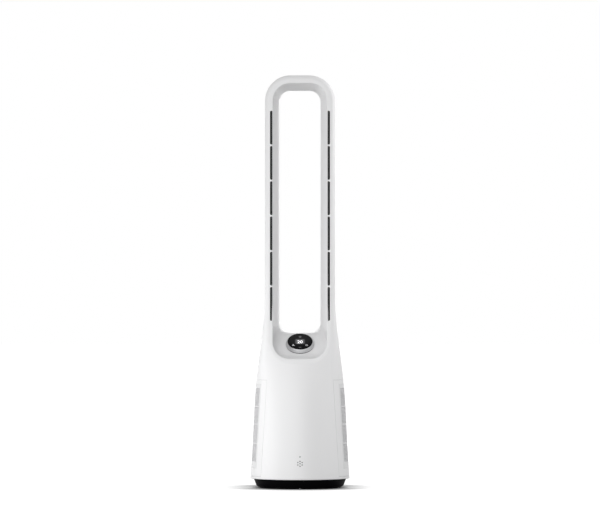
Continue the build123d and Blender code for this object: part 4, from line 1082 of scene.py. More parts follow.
def plastic(name, colour, gloss, grain=2500.0, relief=0.1, tone=0.03, **sockets):
    given = {"Colour": (*colour, 1), "Grain_Scale": grain, "Tone": tone, "Gloss": gloss}
    return surfaced(name, "moulded_surface", relief, 0.0002, given, **sockets)


def metal(name, colour, gloss, across=4000.0, along=90.0, relief=0.08):
    given = {"Colour": (*colour, 1), "Across": across, "Along": along, "Gloss": gloss}
    return surfaced(name, "drawn_metal", relief, 0.0001, given, Metallic=1.0)


def fibre(name, colour, scale, depth):
    given = {"Colour": (*colour, 1), "Scale": scale, "Depth": depth}
    return surfaced(name, "matted_fibre", 0.5, 0.0002, given, Roughness=0.95)


def circuit_board(name):
    return surfaced(name, "board_print", 0.4, 0.00005, {}, Roughness=0.35)


def dial_places(tree):
    """Object coordinates turned and moved onto the dial: X across, Y up it, Z along its axis."""
    inverse = dial_matrix().inverted()
    mapping = put(tree, "ShaderNodeMapping", Vector=object_place(tree),
                  Location=inverse.to_translation(), Rotation=inverse.to_euler())
    return put(tree, "ShaderNodeSeparateXYZ", Vector=mapping.outputs[0]).outputs


def glow_mask(tree, place, box_size, reach):
    """1 inside a box on the dial, of half sizes, and fading to 0 over a reach outside it."""
    squares = []
    for value, half in zip(place, box_size):
        past = maths(tree, "SUBTRACT", maths(tree, "ABSOLUTE", value), half)
        past = maths(tree, "MAXIMUM", past, 0.0)
        squares.append(maths(tree, "MULTIPLY", past, past))
    distance = maths(tree, "SQRT", maths(tree, "ADD", *squares))
    return remap(tree, distance, 0.0, reach, 1.0, 0.0)


def display_glass(name):
    """Black glass that shows the light spread round the lit digits."""
    material, tree, shader = blank(name, Base_Color=(0.006, 0.006, 0.007, 1), IOR=1.45,
                                   Specular_IOR_Level=0.09, Emission_Strength=1.0)
    places = dial_places(tree)
    glow = glow_mask(tree, (places["X"], places["Y"]), HALO_BOX, HALO_REACH)
    light = maths(tree, "MULTIPLY", glow, DIGIT_HALO)
    tint = put(tree, "ShaderNodeCombineColor", Red=light, Green=light,
               Blue=maths(tree, "MULTIPLY", light, HALO_BLUE))
    connect(tree, shader.inputs["Emission Color"], tint.outputs[0])
    smear = group_in(tree, "moulded_surface", Gloss=0.07, Gloss_Spread=0.06, Grain_Scale=900.0)
    connect(tree, shader.inputs["Roughness"], smear["Roughness"])
    return material


def lit_figure(name, colour, share=1.0):
    """Lit figures behind the glass, a little uneven as through a diffuser. share is their light
    as a share of the digits'."""
    material, tree, shader = blank(name, Base_Color=(0.02, 0.02, 0.02, 1), Roughness=0.4,
                                   Emission_Strength=bpy.context.scene.fan_display.glow * share)
    surface = group_in(tree, "moulded_surface", Colour=(*colour, 1), Grain_Scale=700.0, Tone=0.2)
    connect(tree, shader.inputs["Emission Color"], surface["Colour"])
    return material


def finish(name):
    """The finish of that name, made at its first use. The frame's own plain materials have the
    names of the slots, so a finish has a longer one."""
    full_name = name + "_finish"
    return bpy.data.materials.get(full_name) or FINISHES[name](full_name)


def white_shell(name):
    white = bpy.context.scene.fan_shell.white
    return plastic(name, white, 0.48, relief=0.05, tone=0.012, Specular_IOR_Level=0.4)


def grille_plastic(name):
    return plastic(name, bpy.context.scene.fan_grille.colour, 0.5)


def made_by(maker, *values, **more):
    """A finish that a maker makes from fixed values."""
    return lambda name: maker(name, *values, **more)


FINISHES = {
    "white_shell": white_shell,
    "grille": grille_plastic,
    "grille_border": made_by(plastic, (0.72, 0.72, 0.725), 0.5, relief=0.06, tone=0.012),
    "black_nozzle": made_by(plastic, (0.003, 0.003, 0.003), 0.6, relief=0.2,
                            Specular_IOR_Level=0.04),
    "black_base": made_by(plastic, (0.003, 0.003, 0.0033), 0.5, Specular_IOR_Level=0.02),
    "rubber": made_by(plastic, (0.016, 0.016, 0.017), 0.85, grain=1400.0, relief=0.4, tone=0.2),
    "grey_plastic": made_by(plastic, (0.36, 0.37, 0.38), 0.48, relief=0.15, tone=0.06),
    "dark_plastic": made_by(plastic, (0.012, 0.012, 0.013), 0.42, relief=0.12),
    "lead_jacket": made_by(plastic, (0.02, 0.02, 0.022), 0.55, grain=3000.0, relief=0.25),
    "light_guide": made_by(plastic, (0.72, 0.74, 0.76), 0.3, relief=0.04,
                           Transmission_Weight=0.35),
    "filter_frame": made_by(plastic, (0.74, 0.75, 0.75), 0.5, relief=0.12),
    "sensor_can": made_by(plastic, (0.03, 0.03, 0.031), 0.45),
    "steel": made_by(metal, (0.56, 0.57, 0.58), 0.28),
    "motor_can": made_by(metal, (0.42, 0.42, 0.43), 0.38, along=300.0),
    "lamination": made_by(metal, (0.24, 0.24, 0.25), 0.5, across=6000.0, along=20.0, relief=0.4),
    "copper": made_by(metal, (0.72, 0.33, 0.16), 0.3, across=3500.0, along=40.0, relief=0.5),
    "bezel": made_by(metal, (0.6, 0.6, 0.61), 0.34, across=2500.0, along=200.0, relief=0.03),
    "filter_media": made_by(fibre, (0.74, 0.74, 0.72), 1800.0, 0.3),
    "board": circuit_board,
    "display_glass": display_glass,
    "lit_digits": made_by(lit_figure, (0.98, 0.98, 1.0)),
    "lit_icons": made_by(lit_figure, (0.8, 0.82, 0.85), ICON_SHARE),
    "soft_icons": made_by(lit_figure, (0.7, 0.7, 0.72), LAMP_SHARE),
    "dim_icons": made_by(lit_figure, (0.5, 0.5, 0.52), DIM_SHARE),
}


# ================================================================ the pieces
def open_slots(bm, width):
    """Opens the outlet slots in the right half of the skin, with their round ends."""
    r = width / 2
    reach = SLOT_LENGTH / 2 - r         # from a slot's middle to the centre of a round end

    def on_strip(c):
        near = abs(c.x - SLOT_X) < SLOT_REACH and c.z > SLOT_BOTTOM_Z - SLOT_REACH
        return near and c.y < SLOT_FRONT_Y

    for side in (-1, 1):
        cut_faces(bm, on_strip, Vector((SLOT_X + side * r, 0, 0)), Vector((1, 0, 0)))
    for i in range(SLOT_COUNT):
        middle = SLOT_BOTTOM_Z + SLOT_LENGTH / 2 + SLOT_PITCH * i
        for end in (-1, 1):
            centre = middle + end * reach
            for z in (centre, centre + end * r):
                cut_faces(bm, on_strip, Vector((0, 0, z)), Vector((0, 0, 1)))

            def at_end(c):
                return on_strip(c) and abs(c.x - SLOT_X) < r and 0 < (c.z - centre) * end < r

            for turn in SLOT_END_TURNS:
                out = Vector((math.sin(turn), 0, end * math.cos(turn)))
                cut_faces(bm, at_end, Vector((SLOT_X, 0, centre)) + out * r, out)

    def open_here(c):
        up = (c.z - SLOT_BOTTOM_Z) % SLOT_PITCH - SLOT_LENGTH / 2
        over = max(abs(up) - reach, 0)
        inside = math.hypot(c.x - SLOT_X, over) < r
        return on_strip(c) and inside and SLOT_BOTTOM_Z < c.z < SLOT_TOP_Z

    gone = [f for f in bm.faces if open_here(f.calc_center_median())]
    bmesh.ops.delete(bm, geom=gone, context="FACES")


def shell_cutters():
    """Sensor holes and the dial's pocket, as one mesh of closed shapes."""
    bm = bmesh.new()
    hole = circle_outline(SENSOR_HOLE_R, DOT_STEPS)
    for x, z in sensor_places():
        add_prism(bm, hole, upright_matrix(x, z), *SENSOR_REACH)
    pocket = circle_outline(DIAL_POCKET_R, GLASS_STEPS)
    add_prism(bm, pocket, dial_matrix(), *POCKET_REACH)
    bmesh.ops.recalc_face_normals(bm, faces=bm.faces)
    return bm


def sensor_places():
    """The two holes in line and the six round the lower one."""
    turns = [math.radians(90 + 360 / SENSOR_RING_COUNT * i) for i in range(SENSOR_RING_COUNT)]
    ring = [(SENSOR_RING_R * math.cos(turn), SENSOR_Z[1] + SENSOR_RING_R * math.sin(turn))
            for turn in turns]
    return [(0.0, z) for z in SENSOR_Z] + ring


def add_seat(piece):
    """Adds the step that the dial turns on, under the pocket, to a shell."""
    upper_r = DIAL_POCKET_R - SEAT_PLAY
    profile = [(SEAT_HOLE_R, 0), (upper_r, 0), (upper_r, -SEAT_STEP), (SEAT_R, -SEAT_STEP),
               (SEAT_R, -SEAT_THICK), (SEAT_HOLE_R, -SEAT_THICK)]
    return join(piece.name, [piece, lathe("seat", profile, dial_matrix(), GLASS_STEPS)])


def inset_outline(places, z, inset):
    """Points (x, y) of the outer form at one height, drawn in by an inset."""
    here = envelope(places, z)[:, :2]
    along = envelope(places + OUTLINE_STEP, z)[:, :2] - envelope(places - OUTLINE_STEP, z)[:, :2]
    normal = np.stack([along[:, 1], -along[:, 0]], axis=1)
    return here - normal / np.linalg.norm(normal, axis=1)[:, None] * inset


def inner_shelf(name, heights, side, end_x, inner):
    """A flat shelf along the inside of one shell. side is -1 for the front. inner gives its inner
    edge: a radius round the fan's axis, or a further inset when it is small."""
    z = sum(heights) / 2
    held = FRONT_PLACES if side < 0 else REAR_PLACES
    last = float(side_place(np.array(end_x), np.array(z), *held))
    places = np.linspace(held[0] if side < 0 else held[1], last, SHELF_POINTS)
    outer = inset_outline(places, z, SHELF_INSET)
    if inner > SHELF_RADIUS_FROM:
        turn = np.linspace(0, math.asin(end_x / inner), SHELF_POINTS)
        inside = np.stack([inner * np.sin(turn), side * inner * np.cos(turn)], axis=1)
    else:
        inside = inset_outline(places, z, inner)
    flip = np.array([-1, 1])
    outer = np.concatenate([outer[:0:-1] * flip, outer])
    inside = np.concatenate([inside[:0:-1] * flip, inside])
    bm = bmesh.new()
    low, high = heights
    sections = [[bm.verts.new((*point, h))
                 for point, h in ((o, low), (o, high), (i, high), (i, low))]
                for o, i in zip(outer, inside)]
    for here, following in zip(sections, sections[1:]):
        for i in range(4):
            bm.faces.new((here[i], here[i - 1], following[i - 1], following[i]))
    bm.faces.new(sections[0])
    bm.faces.new(sections[-1])
    return solid(name, bm)


def add_shelves(piece, side):
    """Adds the flange that is screwed to the turntable and the ledge under the fan deck."""
    shelves = [inner_shelf("flange", FLANGE_Z, side, FLANGE_END_X, FLANGE_INNER_R),
               inner_shelf("ledge", LEDGE_Z, side, LEDGE_END_X, LEDGE_INSET)]
    return join(piece.name, [piece] + shelves)


def build_shells(options):
    bm = skin_half()
    open_slots(bm, options.slot_width)
    names = cut_skin(bm, options.seam)
    made = {}
    for name, side in (("front", -1), ("rear", 1)):
        half = take_piece(bm, names, name)
        mirror_whole(half)
        piece = to_object(name + "_shell_skin", thicken(half, options.wall))
        if name == "front":
            carve(piece, shell_cutters())
            piece = add_seat(piece)
        made[name] = add_shelves(piece, side)
        seat(made[name], "tower", "white_shell", "white_shell", name + "_shell")
    for side, sign in (("right", 1), ("left", -1)):
        half = take_piece(bm, names, "cover")
        if side == "left":
            mirror(half)
        piece = to_object("cover_skin_" + side, thicken(half, options.wall))
        tongues = [box("tongue", (sign * TONGUE_X, y, TONGUE_Z), TONGUE_SIZE)
                   for y in (-TONGUE_Y, TONGUE_Y)]
        piece = join("cover_skin_" + side, [piece] + tongues)
        seat(piece, "cover_" + side, "white_shell", "white_shell", "cover_" + side)
    bm.free()


def box(name, centre, size):
    """A plain box."""
    bm = bmesh.new()
    place = Matrix.Translation(Vector(centre)) @ Matrix.Diagonal((*size, 1))
    bmesh.ops.create_cube(bm, size=1, matrix=place)
    return to_object(name, bm)


# ---------------------------------------------------------------- grilles
def grille_cell(name, hole):
    """One cell of the perforated plate in a unit square: eight sides to the hole, which is a
    share of the cell (across, up)."""
    bm = bmesh.new()
    outer = [(0.5, 0), (0.5, 0.5), (0, 0.5), (-0.5, 0.5),
             (-0.5, 0), (-0.5, -0.5), (0, -0.5), (0.5, -0.5)]
    turns = [math.radians(45 * i) for i in range(8)]
    inner = [(hole[0] / 2 * math.cos(turn), hole[1] / 2 * math.sin(turn)) for turn in turns]
    rings = [[bm.verts.new((x, y, h)) for x, y in ring]
             for ring, h in ((outer, 1), (inner, 1), (inner, 0), (outer, 0))]
    join_rings(bm, rings)
    bm.normal_update()
    if rings[0][0].link_faces[0].normal.z < 0:
        bmesh.ops.reverse_faces(bm, faces=bm.faces)
    return to_object(name, bm, smooth=False)


def geometry_group(name, **inputs):
    """A geometry node group with its inputs, by name and kind, and one mesh as its output."""
    tree = bpy.data.node_groups.new(name, "GeometryNodeTree")
    for label, kind in inputs.items():
        tree.interface.new_socket(label, in_out="INPUT", socket_type="NodeSocket" + kind)
    tree.interface.new_socket("Geometry", in_out="OUTPUT", socket_type="NodeSocketGeometry")
    return tree, tree.nodes.new("NodeGroupInput").outputs


def end_group(tree, geometry, material):
    """Ends a geometry node group with its mesh in one material."""
    done = put(tree, "GeometryNodeSetMaterial", Geometry=geometry, Material=material)
    tree.links.new(done.outputs[0], tree.nodes.new("NodeGroupOutput").inputs["Geometry"])
    return tree


def perforation_nodes():
    """Geometry nodes: cells in staggered rows over a unit square, with plain half cells at the
    ends of every other row, as one mesh."""
    tree, given = geometry_group("perforated_plate", Cell="Object", Columns="Int", Rows="Int",
                                 Finish="Material")
    wide = maths(tree, "DIVIDE", 1.0, given["Columns"])
    high = maths(tree, "DIVIDE", 1.0, given["Rows"])
    grid = put(tree, "GeometryNodeMeshGrid",
               Size_X=maths(tree, "SUBTRACT", 1.0, wide), Size_Y=maths(tree, "SUBTRACT", 1.0, high),
               Vertices_X=given["Columns"], Vertices_Y=given["Rows"])
    index = tree.nodes.new("GeometryNodeInputIndex").outputs[0]
    row = maths(tree, "MODULO", index, given["Rows"])
    odd = maths(tree, "MODULO", row, 2.0)
    half_cell = maths(tree, "MULTIPLY", wide, 0.5)
    shift = put(tree, "ShaderNodeCombineXYZ", X=maths(tree, "MULTIPLY", odd, half_cell))
    staggered = put(tree, "GeometryNodeSetPosition", Geometry=grid.outputs["Mesh"],
                    Offset=shift.outputs[0])
    full = maths(tree, "MULTIPLY", given["Rows"], maths(tree, "SUBTRACT", given["Columns"], 1.0))
    last = maths(tree, "GREATER_THAN", index, maths(tree, "SUBTRACT", full, 0.5))
    kept = put(tree, "GeometryNodeDeleteGeometry", {"domain": "POINT"},
               Geometry=staggered.outputs[0], Selection=maths(tree, "MULTIPLY", odd, last))
    cell = put(tree, "GeometryNodeObjectInfo", Object=given["Cell"], As_Instance=True)
    size = put(tree, "ShaderNodeCombineXYZ", X=wide, Y=high, Z=1.0)
    placed = put(tree, "GeometryNodeInstanceOnPoints", Points=kept.outputs[0],
                 Instance=cell.outputs["Geometry"], Scale=size.outputs[0])
    joined = put(tree, "GeometryNodeJoinGeometry")
    tree.links.new(placed.outputs[0], joined.inputs[0])
    plain_size = put(tree, "ShaderNodeCombineXYZ", X=half_cell, Y=high, Z=1.0)
    plain = put(tree, "GeometryNodeMeshCube", Size=plain_size.outputs[0])
    raised = put(tree, "GeometryNodeTransform", Geometry=plain.outputs["Mesh"],
                 Translation=(0, 0, 0.5))
    first_y = maths(tree, "MULTIPLY_ADD", high, 1.5, -0.5)
    step = put(tree, "ShaderNodeCombineXYZ", Y=maths(tree, "MULTIPLY", high, 2.0))
    odd_rows = maths(tree, "FLOOR", maths(tree, "DIVIDE", given["Rows"], 2.0))
    for side in (-1, 1):
        end_x = maths(tree, "MULTIPLY", maths(tree, "MULTIPLY_ADD", wide, -0.25, 0.5), float(side))
        start = put(tree, "ShaderNodeCombineXYZ", X=end_x, Y=first_y)
        line = put(tree, "GeometryNodeMeshLine", Count=odd_rows, Start_Location=start.outputs[0],
                   Offset=step.outputs[0])
        ends = put(tree, "GeometryNodeInstanceOnPoints", Points=line.outputs[0],
                   Instance=raised.outputs[0])
        tree.links.new(ends.outputs[0], joined.inputs[0])
    real = put(tree, "GeometryNodeRealizeInstances", Geometry=joined.outputs[0])
    merged = put(tree, "GeometryNodeMergeByDistance", Geometry=real.outputs[0], Distance=WELD)
    return end_group(tree, merged.outputs[0], given["Finish"])


def set_inputs(modifier, **values):
    """Sets a geometry nodes modifier's inputs by their names."""
    for item in modifier.node_group.interface.items_tree:
        if item.item_type == "SOCKET" and item.in_out == "INPUT" and item.name in values:
            modifier[item.identifier] = values[item.name]


def window_x(z):
    """Place across of the window's leaning edge at heights z."""
    share = (z - WINDOW_BOTTOM[1]) / (WINDOW_TOP[1] - WINDOW_BOTTOM[1])
    return WINDOW_BOTTOM[0] + (WINDOW_TOP[0] - WINDOW_BOTTOM[0]) * share


class WindowMap:
    """Maps (share along the side from front to back, height, distance out) onto the window."""

    def __init__(self, levels=90, samples=160):
        self.z = np.linspace(WINDOW_BOTTOM[1], WINDOW_TOP[1], levels)
        edge = window_x(self.z)
        first, last = (side_place(edge, self.z, *held) for held in WINDOW_PLACES)
        share = np.linspace(0, 1, samples)
        place = first[:, None] + (last - first)[:, None] * share
        points = envelope(place, self.z[:, None])
        steps = np.linalg.norm(np.diff(points, axis=1), axis=2)
        along = np.concatenate([np.zeros((levels, 1)), np.cumsum(steps, axis=1)], axis=1)
        self.width = along[:, -1]
        even = np.linspace(0, 1, samples)
        self.place = np.stack([np.interp(even, a / a[-1], p) for a, p in zip(along, place)])

    def pick(self, table, share, z):
        """Value of a table at fractional places, weighted between its four neighbours."""
        rows, cols = table.shape
        r = np.clip((z - self.z[0]) / (self.z[-1] - self.z[0]), 0, 1) * (rows - 1)
        c = np.clip(share, 0, 1) * (cols - 1)
        r0 = np.minimum(r.astype(int), rows - 2)
        c0 = np.minimum(c.astype(int), cols - 2)
        fr, fc = r - r0, c - c0
        low = table[r0, c0] * (1 - fc) + table[r0, c0 + 1] * fc
        high = table[r0 + 1, c0] * (1 - fc) + table[r0 + 1, c0 + 1] * fc
        return low * (1 - fr) + high * fr

    def points(self, share, z, out):
        here = self.pick(self.place, share, z)
        along = envelope(here + NORMAL_STEP, z) - envelope(here - NORMAL_STEP, z)
        up = envelope(here, z + NORMAL_STEP) - envelope(here, z - NORMAL_STEP)
        normal = np.cross(along, up)
        normal /= np.linalg.norm(normal, axis=1)[:, None]
        return envelope(here, z) + normal * out[:, None]


def map_mesh(mesh, change):
    """Moves all of a mesh's points by a function of their (x, y, z) columns."""
    flat = np.empty(len(mesh.vertices) * 3)
    mesh.vertices.foreach_get("co", flat)
    mesh.vertices.foreach_set("co", change(flat.reshape(-1, 3)).ravel())
    mesh.update()


def slab(shares, heights, outs, steps):
    """A closed slab of small faces: ranges of share, height and distance out."""
    bm = bmesh.new()
    us = np.linspace(*shares, steps[0] + 1)
    vs = np.linspace(*heights, steps[1] + 1)
    layers = []
    for out in outs:
        layers.append([[bm.verts.new((u, v, out)) for u in us] for v in vs])
        join_rows(bm, layers[-1])
    for end in (0, -1):
        join_rows(bm, [grid[end] for grid in layers])
        join_rows(bm, [[row[end] for row in grid] for grid in layers])
    return solid("slab", bm)


def build_grilles(options):
    window = WindowMap()
    wide = float(np.mean(window.width))
    zone = (GRILLE_EDGE / wide, 1 - GRILLE_EDGE / wide)
    play = GRILLE_PLAY / wide
    high = HOLES_TOP_Z - HOLES_BOTTOM_Z
    pitch = ((zone[1] - zone[0]) * wide / options.columns, high / options.rows)
    cell = grille_cell("grille_cell", [options.hole / run for run in pitch])
    holder = new_object("perforation", bpy.data.meshes.new("perforation"))
    nodes = holder.modifiers.new("perforated_plate", "NODES")
    nodes.node_group = perforation_nodes()
    set_inputs(nodes, Cell=cell, Columns=options.columns, Rows=options.rows,
               Finish=finish("grille"))
    settle(holder)
    bpy.data.objects.remove(cell)
    plate_out = -GRILLE_RECESS
    map_mesh(holder.data, lambda p: np.stack([
        zone[0] + (zone[1] - zone[0]) * (p[:, 0] + 0.5),
        HOLES_BOTTOM_Z + high * (p[:, 1] + 0.5),
        plate_out - options.plate * (1 - p[:, 2])], axis=1))
    outs = (plate_out + GRILLE_RAISE, plate_out - options.plate - GRILLE_RAISE)
    lap = GRILLE_LAP / wide
    bottom, top = WINDOW_BOTTOM[1] + GRILLE_PLAY, WINDOW_TOP[1] - GRILLE_PLAY
    sides = (HOLES_BOTTOM_Z + GRILLE_LAP, HOLES_TOP_Z - GRILLE_LAP)
    slabs = [slab((play, 1 - play), (bottom, sides[0]), outs, BOTTOM_BORDER_STEPS),
             slab((play, 1 - play), (sides[1], top), outs, TOP_BORDER_STEPS)]
    slabs += [slab(ends, sides, outs, SIDE_BORDER_STEPS)
              for ends in ((play, zone[0] + lap), (zone[1] - lap, 1 - play))]
    ribs = []
    for z in GRILLE_RIBS_Z:
        row = HOLES_BOTTOM_Z + (math.floor((z - HOLES_BOTTOM_Z) / pitch[1]) + 0.5) * pitch[1]
        ribs.append(slab((zone[0] + lap, zone[1] - lap),
                         (row - GRILLE_RIB / 2, row + GRILLE_RIB / 2), outs, RIB_STEPS))
    plate = join("grille_plate_right", [holder] + ribs)
    border = join("grille_border_right", slabs)
    for whole, material, nodes in ((plate, "grille", ["grille_"]), (border, "grille_border", [])):
        map_mesh(whole.data, lambda p: window.points(p[:, 0], p[:, 1], p[:, 2]))
        bm = bmesh.new()
        bm.from_mesh(whole.data)
        mirror(bm)
        twin = to_object(whole.name.replace("right", "left"), bm)
        for side, piece in (("right", whole), ("left", twin)):
            seat(piece, "cover_" + side, material, "grille", *[node + side for node in nodes])


# ---------------------------------------------------------------- dial
def build_dial(options):
    ring = lathe("dial_bezel", rounded_profile(RING_PROFILE), dial_matrix(), RING_STEPS)
    seat(ring, "dial", "bezel", "bezel", "dial_ring")
    glass = lathe("dial_glass_disc", rounded_profile(GLASS_PROFILE), dial_matrix(), GLASS_STEPS)
    seat(glass, "tower", "display_glass", "display_glass", "dial_glass")
    build_number(options)
    build_icons()


def lift_on_glass(piece, height):
    """Moves a flat figure from the drawing plane onto the glass, to a height on the dial."""
    piece.data.transform(dial_matrix() @ Matrix.Translation(Vector((0, 0, height))))
    return piece


def build_number(options):
    """The lit number, from the built-in lettering."""
    curve = bpy.data.curves.new("number", "FONT")
    curve.body = str(options.number)
    curve.align_x = "CENTER"
    curve.align_y = "CENTER"
    curve.size = options.digit_height / DIGIT_SHARE
    curve.extrude = FIGURE_THICK / 2
    curve.offset = DIGIT_BOLD
    curve.resolution_u = 6
    writer = new_object("number", curve)
    mesh = evaluated_mesh(writer)
    bpy.data.objects.remove(writer)
    xs = [v.co.x for v in mesh.vertices]
    ys = [v.co.y for v in mesh.vertices]
    centre = Vector(((min(xs) + max(xs)) / 2, (min(ys) + max(ys)) / 2, 0))
    centre.y += DIGIT_LOWER
    mesh.transform(Matrix.Diagonal((DIGIT_WIDEN, 1, 1, 1)) @ Matrix.Translation(-centre))
    piece = lift_on_glass(new_object("lit_number", mesh), GLASS_TOP + FIGURE_THICK / 2)
    seat(piece, "tower", "lit_digits", "display_glass")


def ring_figure(centre, outer, inner=None, count=32):
    """Outlines and place of a flat ring, or of a disc when there is no inner radius."""
    hole = inner and circle_outline(inner, count)
    return circle_outline(outer, count), hole, Matrix.Translation(Vector((*centre, 0)))


def bar_figure(centre, size, angle=90):
    """Outline and place of a flat round-ended bar."""
    turn = Matrix.Rotation(math.radians(angle), 4, "Z")
    return stadium_outline(*size, 5), None, Matrix.Translation(Vector((*centre, 0))) @ turn


def build_sign(name, material, *figures):
    """One lit sign of flat figures on the glass."""
    bm = bmesh.new()
    for outer, inner, place in figures:
        if inner:
            add_tube(bm, outer, inner, place, 0.0, FIGURE_THICK)
        else:
            add_prism(bm, outer, place, 0.0, FIGURE_THICK)
    seat(lift_on_glass(solid(name, bm), GLASS_TOP), "tower", material, "display_glass")


def build_icons():
    """The small lit signs: a ring above, a fan at the left, a lamp at the right, a bar below."""
    blades = []
    for i in range(FAN_BLADES):
        turn = 360 / FAN_BLADES * i + 90
        along = math.radians(turn)
        centre = (FAN_SIGN[0] + FAN_BLADE_R * math.cos(along),
                  FAN_SIGN[1] + FAN_BLADE_R * math.sin(along))
        blades.append(bar_figure(centre, FAN_BLADE, turn - FAN_BLADE_LEAN))
    hub = ring_figure(FAN_SIGN, FAN_HUB_R, count=DOT_STEPS)
    build_sign("fan_sign", "lit_icons", *blades, hub)
    build_sign("small_signs", "dim_icons", ring_figure(RING_SIGN, *RING_RADII),
               ring_figure(RING_SIGN, RING_DOT_R, count=DOT_STEPS),
               bar_figure(BAR_SIGN, LONG_BAR))
    build_sign("lamp_sign", "soft_icons", ring_figure(LAMP_SIGN, *LAMP_RADII),
               bar_figure(LAMP_SIGN, LAMP_BAR))


# ---------------------------------------------------------------- base
def build_base():
    """The black foot: a tapered ring with a flat deck and the inlet's opening at the back."""
    inner_r, deck_z = BASE_BOTTOM_R - BASE_WALL, DECK_Z - BASE_DECK
    profile = rounded_profile([
        (inner_r, BASE_JOINT_Z, 0), (BASE_BOTTOM_R, BASE_JOINT_Z, BASE_SOFT),
        (BASE_TOP_R, RIM_Z, BASE_TOP_SOFT), (BASE_TOP_R - BASE_BEVEL, DECK_Z, BASE_SOFT),
        (BASE_HOLE_R, DECK_Z, BASE_SOFT), (BASE_HOLE_R, deck_z, 0),
        (inner_r, deck_z, BASE_INNER_SOFT)])
    piece = lathe("base_dress", profile, steps=BASE_STEPS)
    bm = bmesh.new()
    near, far = INLET_Y
    add_prism(bm, [(-INLET_HALF_X, near), (INLET_HALF_X, near), (INLET_HALF_X, far),
                   (-INLET_HALF_X, far)], Matrix.Identity(4), *INLET_Z)
    bmesh.ops.recalc_face_normals(bm, faces=bm.faces)
    carve(piece, bm)
    seat(piece, "base", "black_base", "black_base", "base_shell")


# ---------------------------------------------------------------- outlet collars
def row_nodes():
    """Geometry nodes: copies of one piece in an upward row, as one mesh."""
    tree, given = geometry_group("upward_row", Piece="Object", Count="Int", First="Float",
                                 Step="Float", Finish="Material")
    start = put(tree, "ShaderNodeCombineXYZ", Z=given["First"])
    step = put(tree, "ShaderNodeCombineXYZ", Z=given["Step"])
    places = put(tree, "GeometryNodeMeshLine", Count=given["Count"],
                 Start_Location=start.outputs[0], Offset=step.outputs[0])
    piece = put(tree, "GeometryNodeObjectInfo", Object=given["Piece"], As_Instance=True)
    row = put(tree, "GeometryNodeInstanceOnPoints", Points=places.outputs[0],
              Instance=piece.outputs["Geometry"])
    real = put(tree, "GeometryNodeRealizeInstances", Geometry=row.outputs[0])
    return end_group(tree, real.outputs[0], given["Finish"])


def build_collars(width):
    """Black collars that line the outlet slots, and the vanes behind them."""
    row = row_nodes()
    size = (SLOT_LENGTH - COLLAR_PLAY, width - COLLAR_PLAY)
    outer = stadium_outline(*size)
    inner = stadium_outline(*[run - 2 * COLLAR_WALL for run in size])
    for side, sign in (("left", -1), ("right", 1)):
        bm = bmesh.new()
        add_tube(bm, outer, inner, upright_matrix(sign * SLOT_X, 0), *COLLAR_REACH)
        for vane in VANES:
            outline = [(sign * x, y) for x, y in vane]
            add_prism(bm, outline, Matrix.Identity(4), -SLOT_LENGTH / 2, SLOT_LENGTH / 2)
        single = solid("collar", bm)
        piece = new_object("outlet_collars_" + side, bpy.data.meshes.new("outlet_collars"))
        nodes = piece.modifiers.new("row", "NODES")
        nodes.node_group = row
        set_inputs(nodes, Piece=single, Count=SLOT_COUNT, First=SLOT_BOTTOM_Z + SLOT_LENGTH / 2,
                   Step=SLOT_PITCH, Finish=finish("black_nozzle"))
        settle(piece)
        bpy.data.objects.remove(single)
        seat(piece, "tower", "black_nozzle", "black_nozzle")


def dress_parts():
    """Gives every kept CAD part the finish of its own slot."""
    slots = {part["node"]: part["material_slot"] for part in frame["record"]["subparts"]}
    for name, part in frame["nodes"].items():
        if name in slots:
            part.data.materials.clear()
            part.data.materials.append(finish(slots[name]))


# ================================================================ the studio
def area_lamp(name, place, size, shine, power):
    """A large soft lamp round the fan. shine is how much of it shows as a highlight."""
    azimuth, distance, height, aim = place
    turn = math.radians(azimuth)
    light = bpy.data.lights.new(name, "AREA")
    light.shape = "RECTANGLE"
    light.size, light.size_y = size
    light.energy = power
    light.specular_factor = shine
    lamp = new_object(name, light)
    lamp.visible_camera = False
    lamp.location = (distance * math.sin(turn), -distance * math.cos(turn), height)
    toward = Vector((0, 0, aim)) - lamp.location
    lamp.rotation_euler = toward.to_track_quat("-Z", "Y").to_euler()


def when_seen(tree, value):
    """Value for rays that come from the camera, a mirror or a window, and 0 for others."""
    path = tree.nodes.new("ShaderNodeLightPath").outputs
    through = maths(tree, "MAXIMUM", path["Is Glossy Ray"], path["Is Transmission Ray"])
    return maths(tree, "MULTIPLY", maths(tree, "MAXIMUM", path["Is Camera Ray"], through), value)


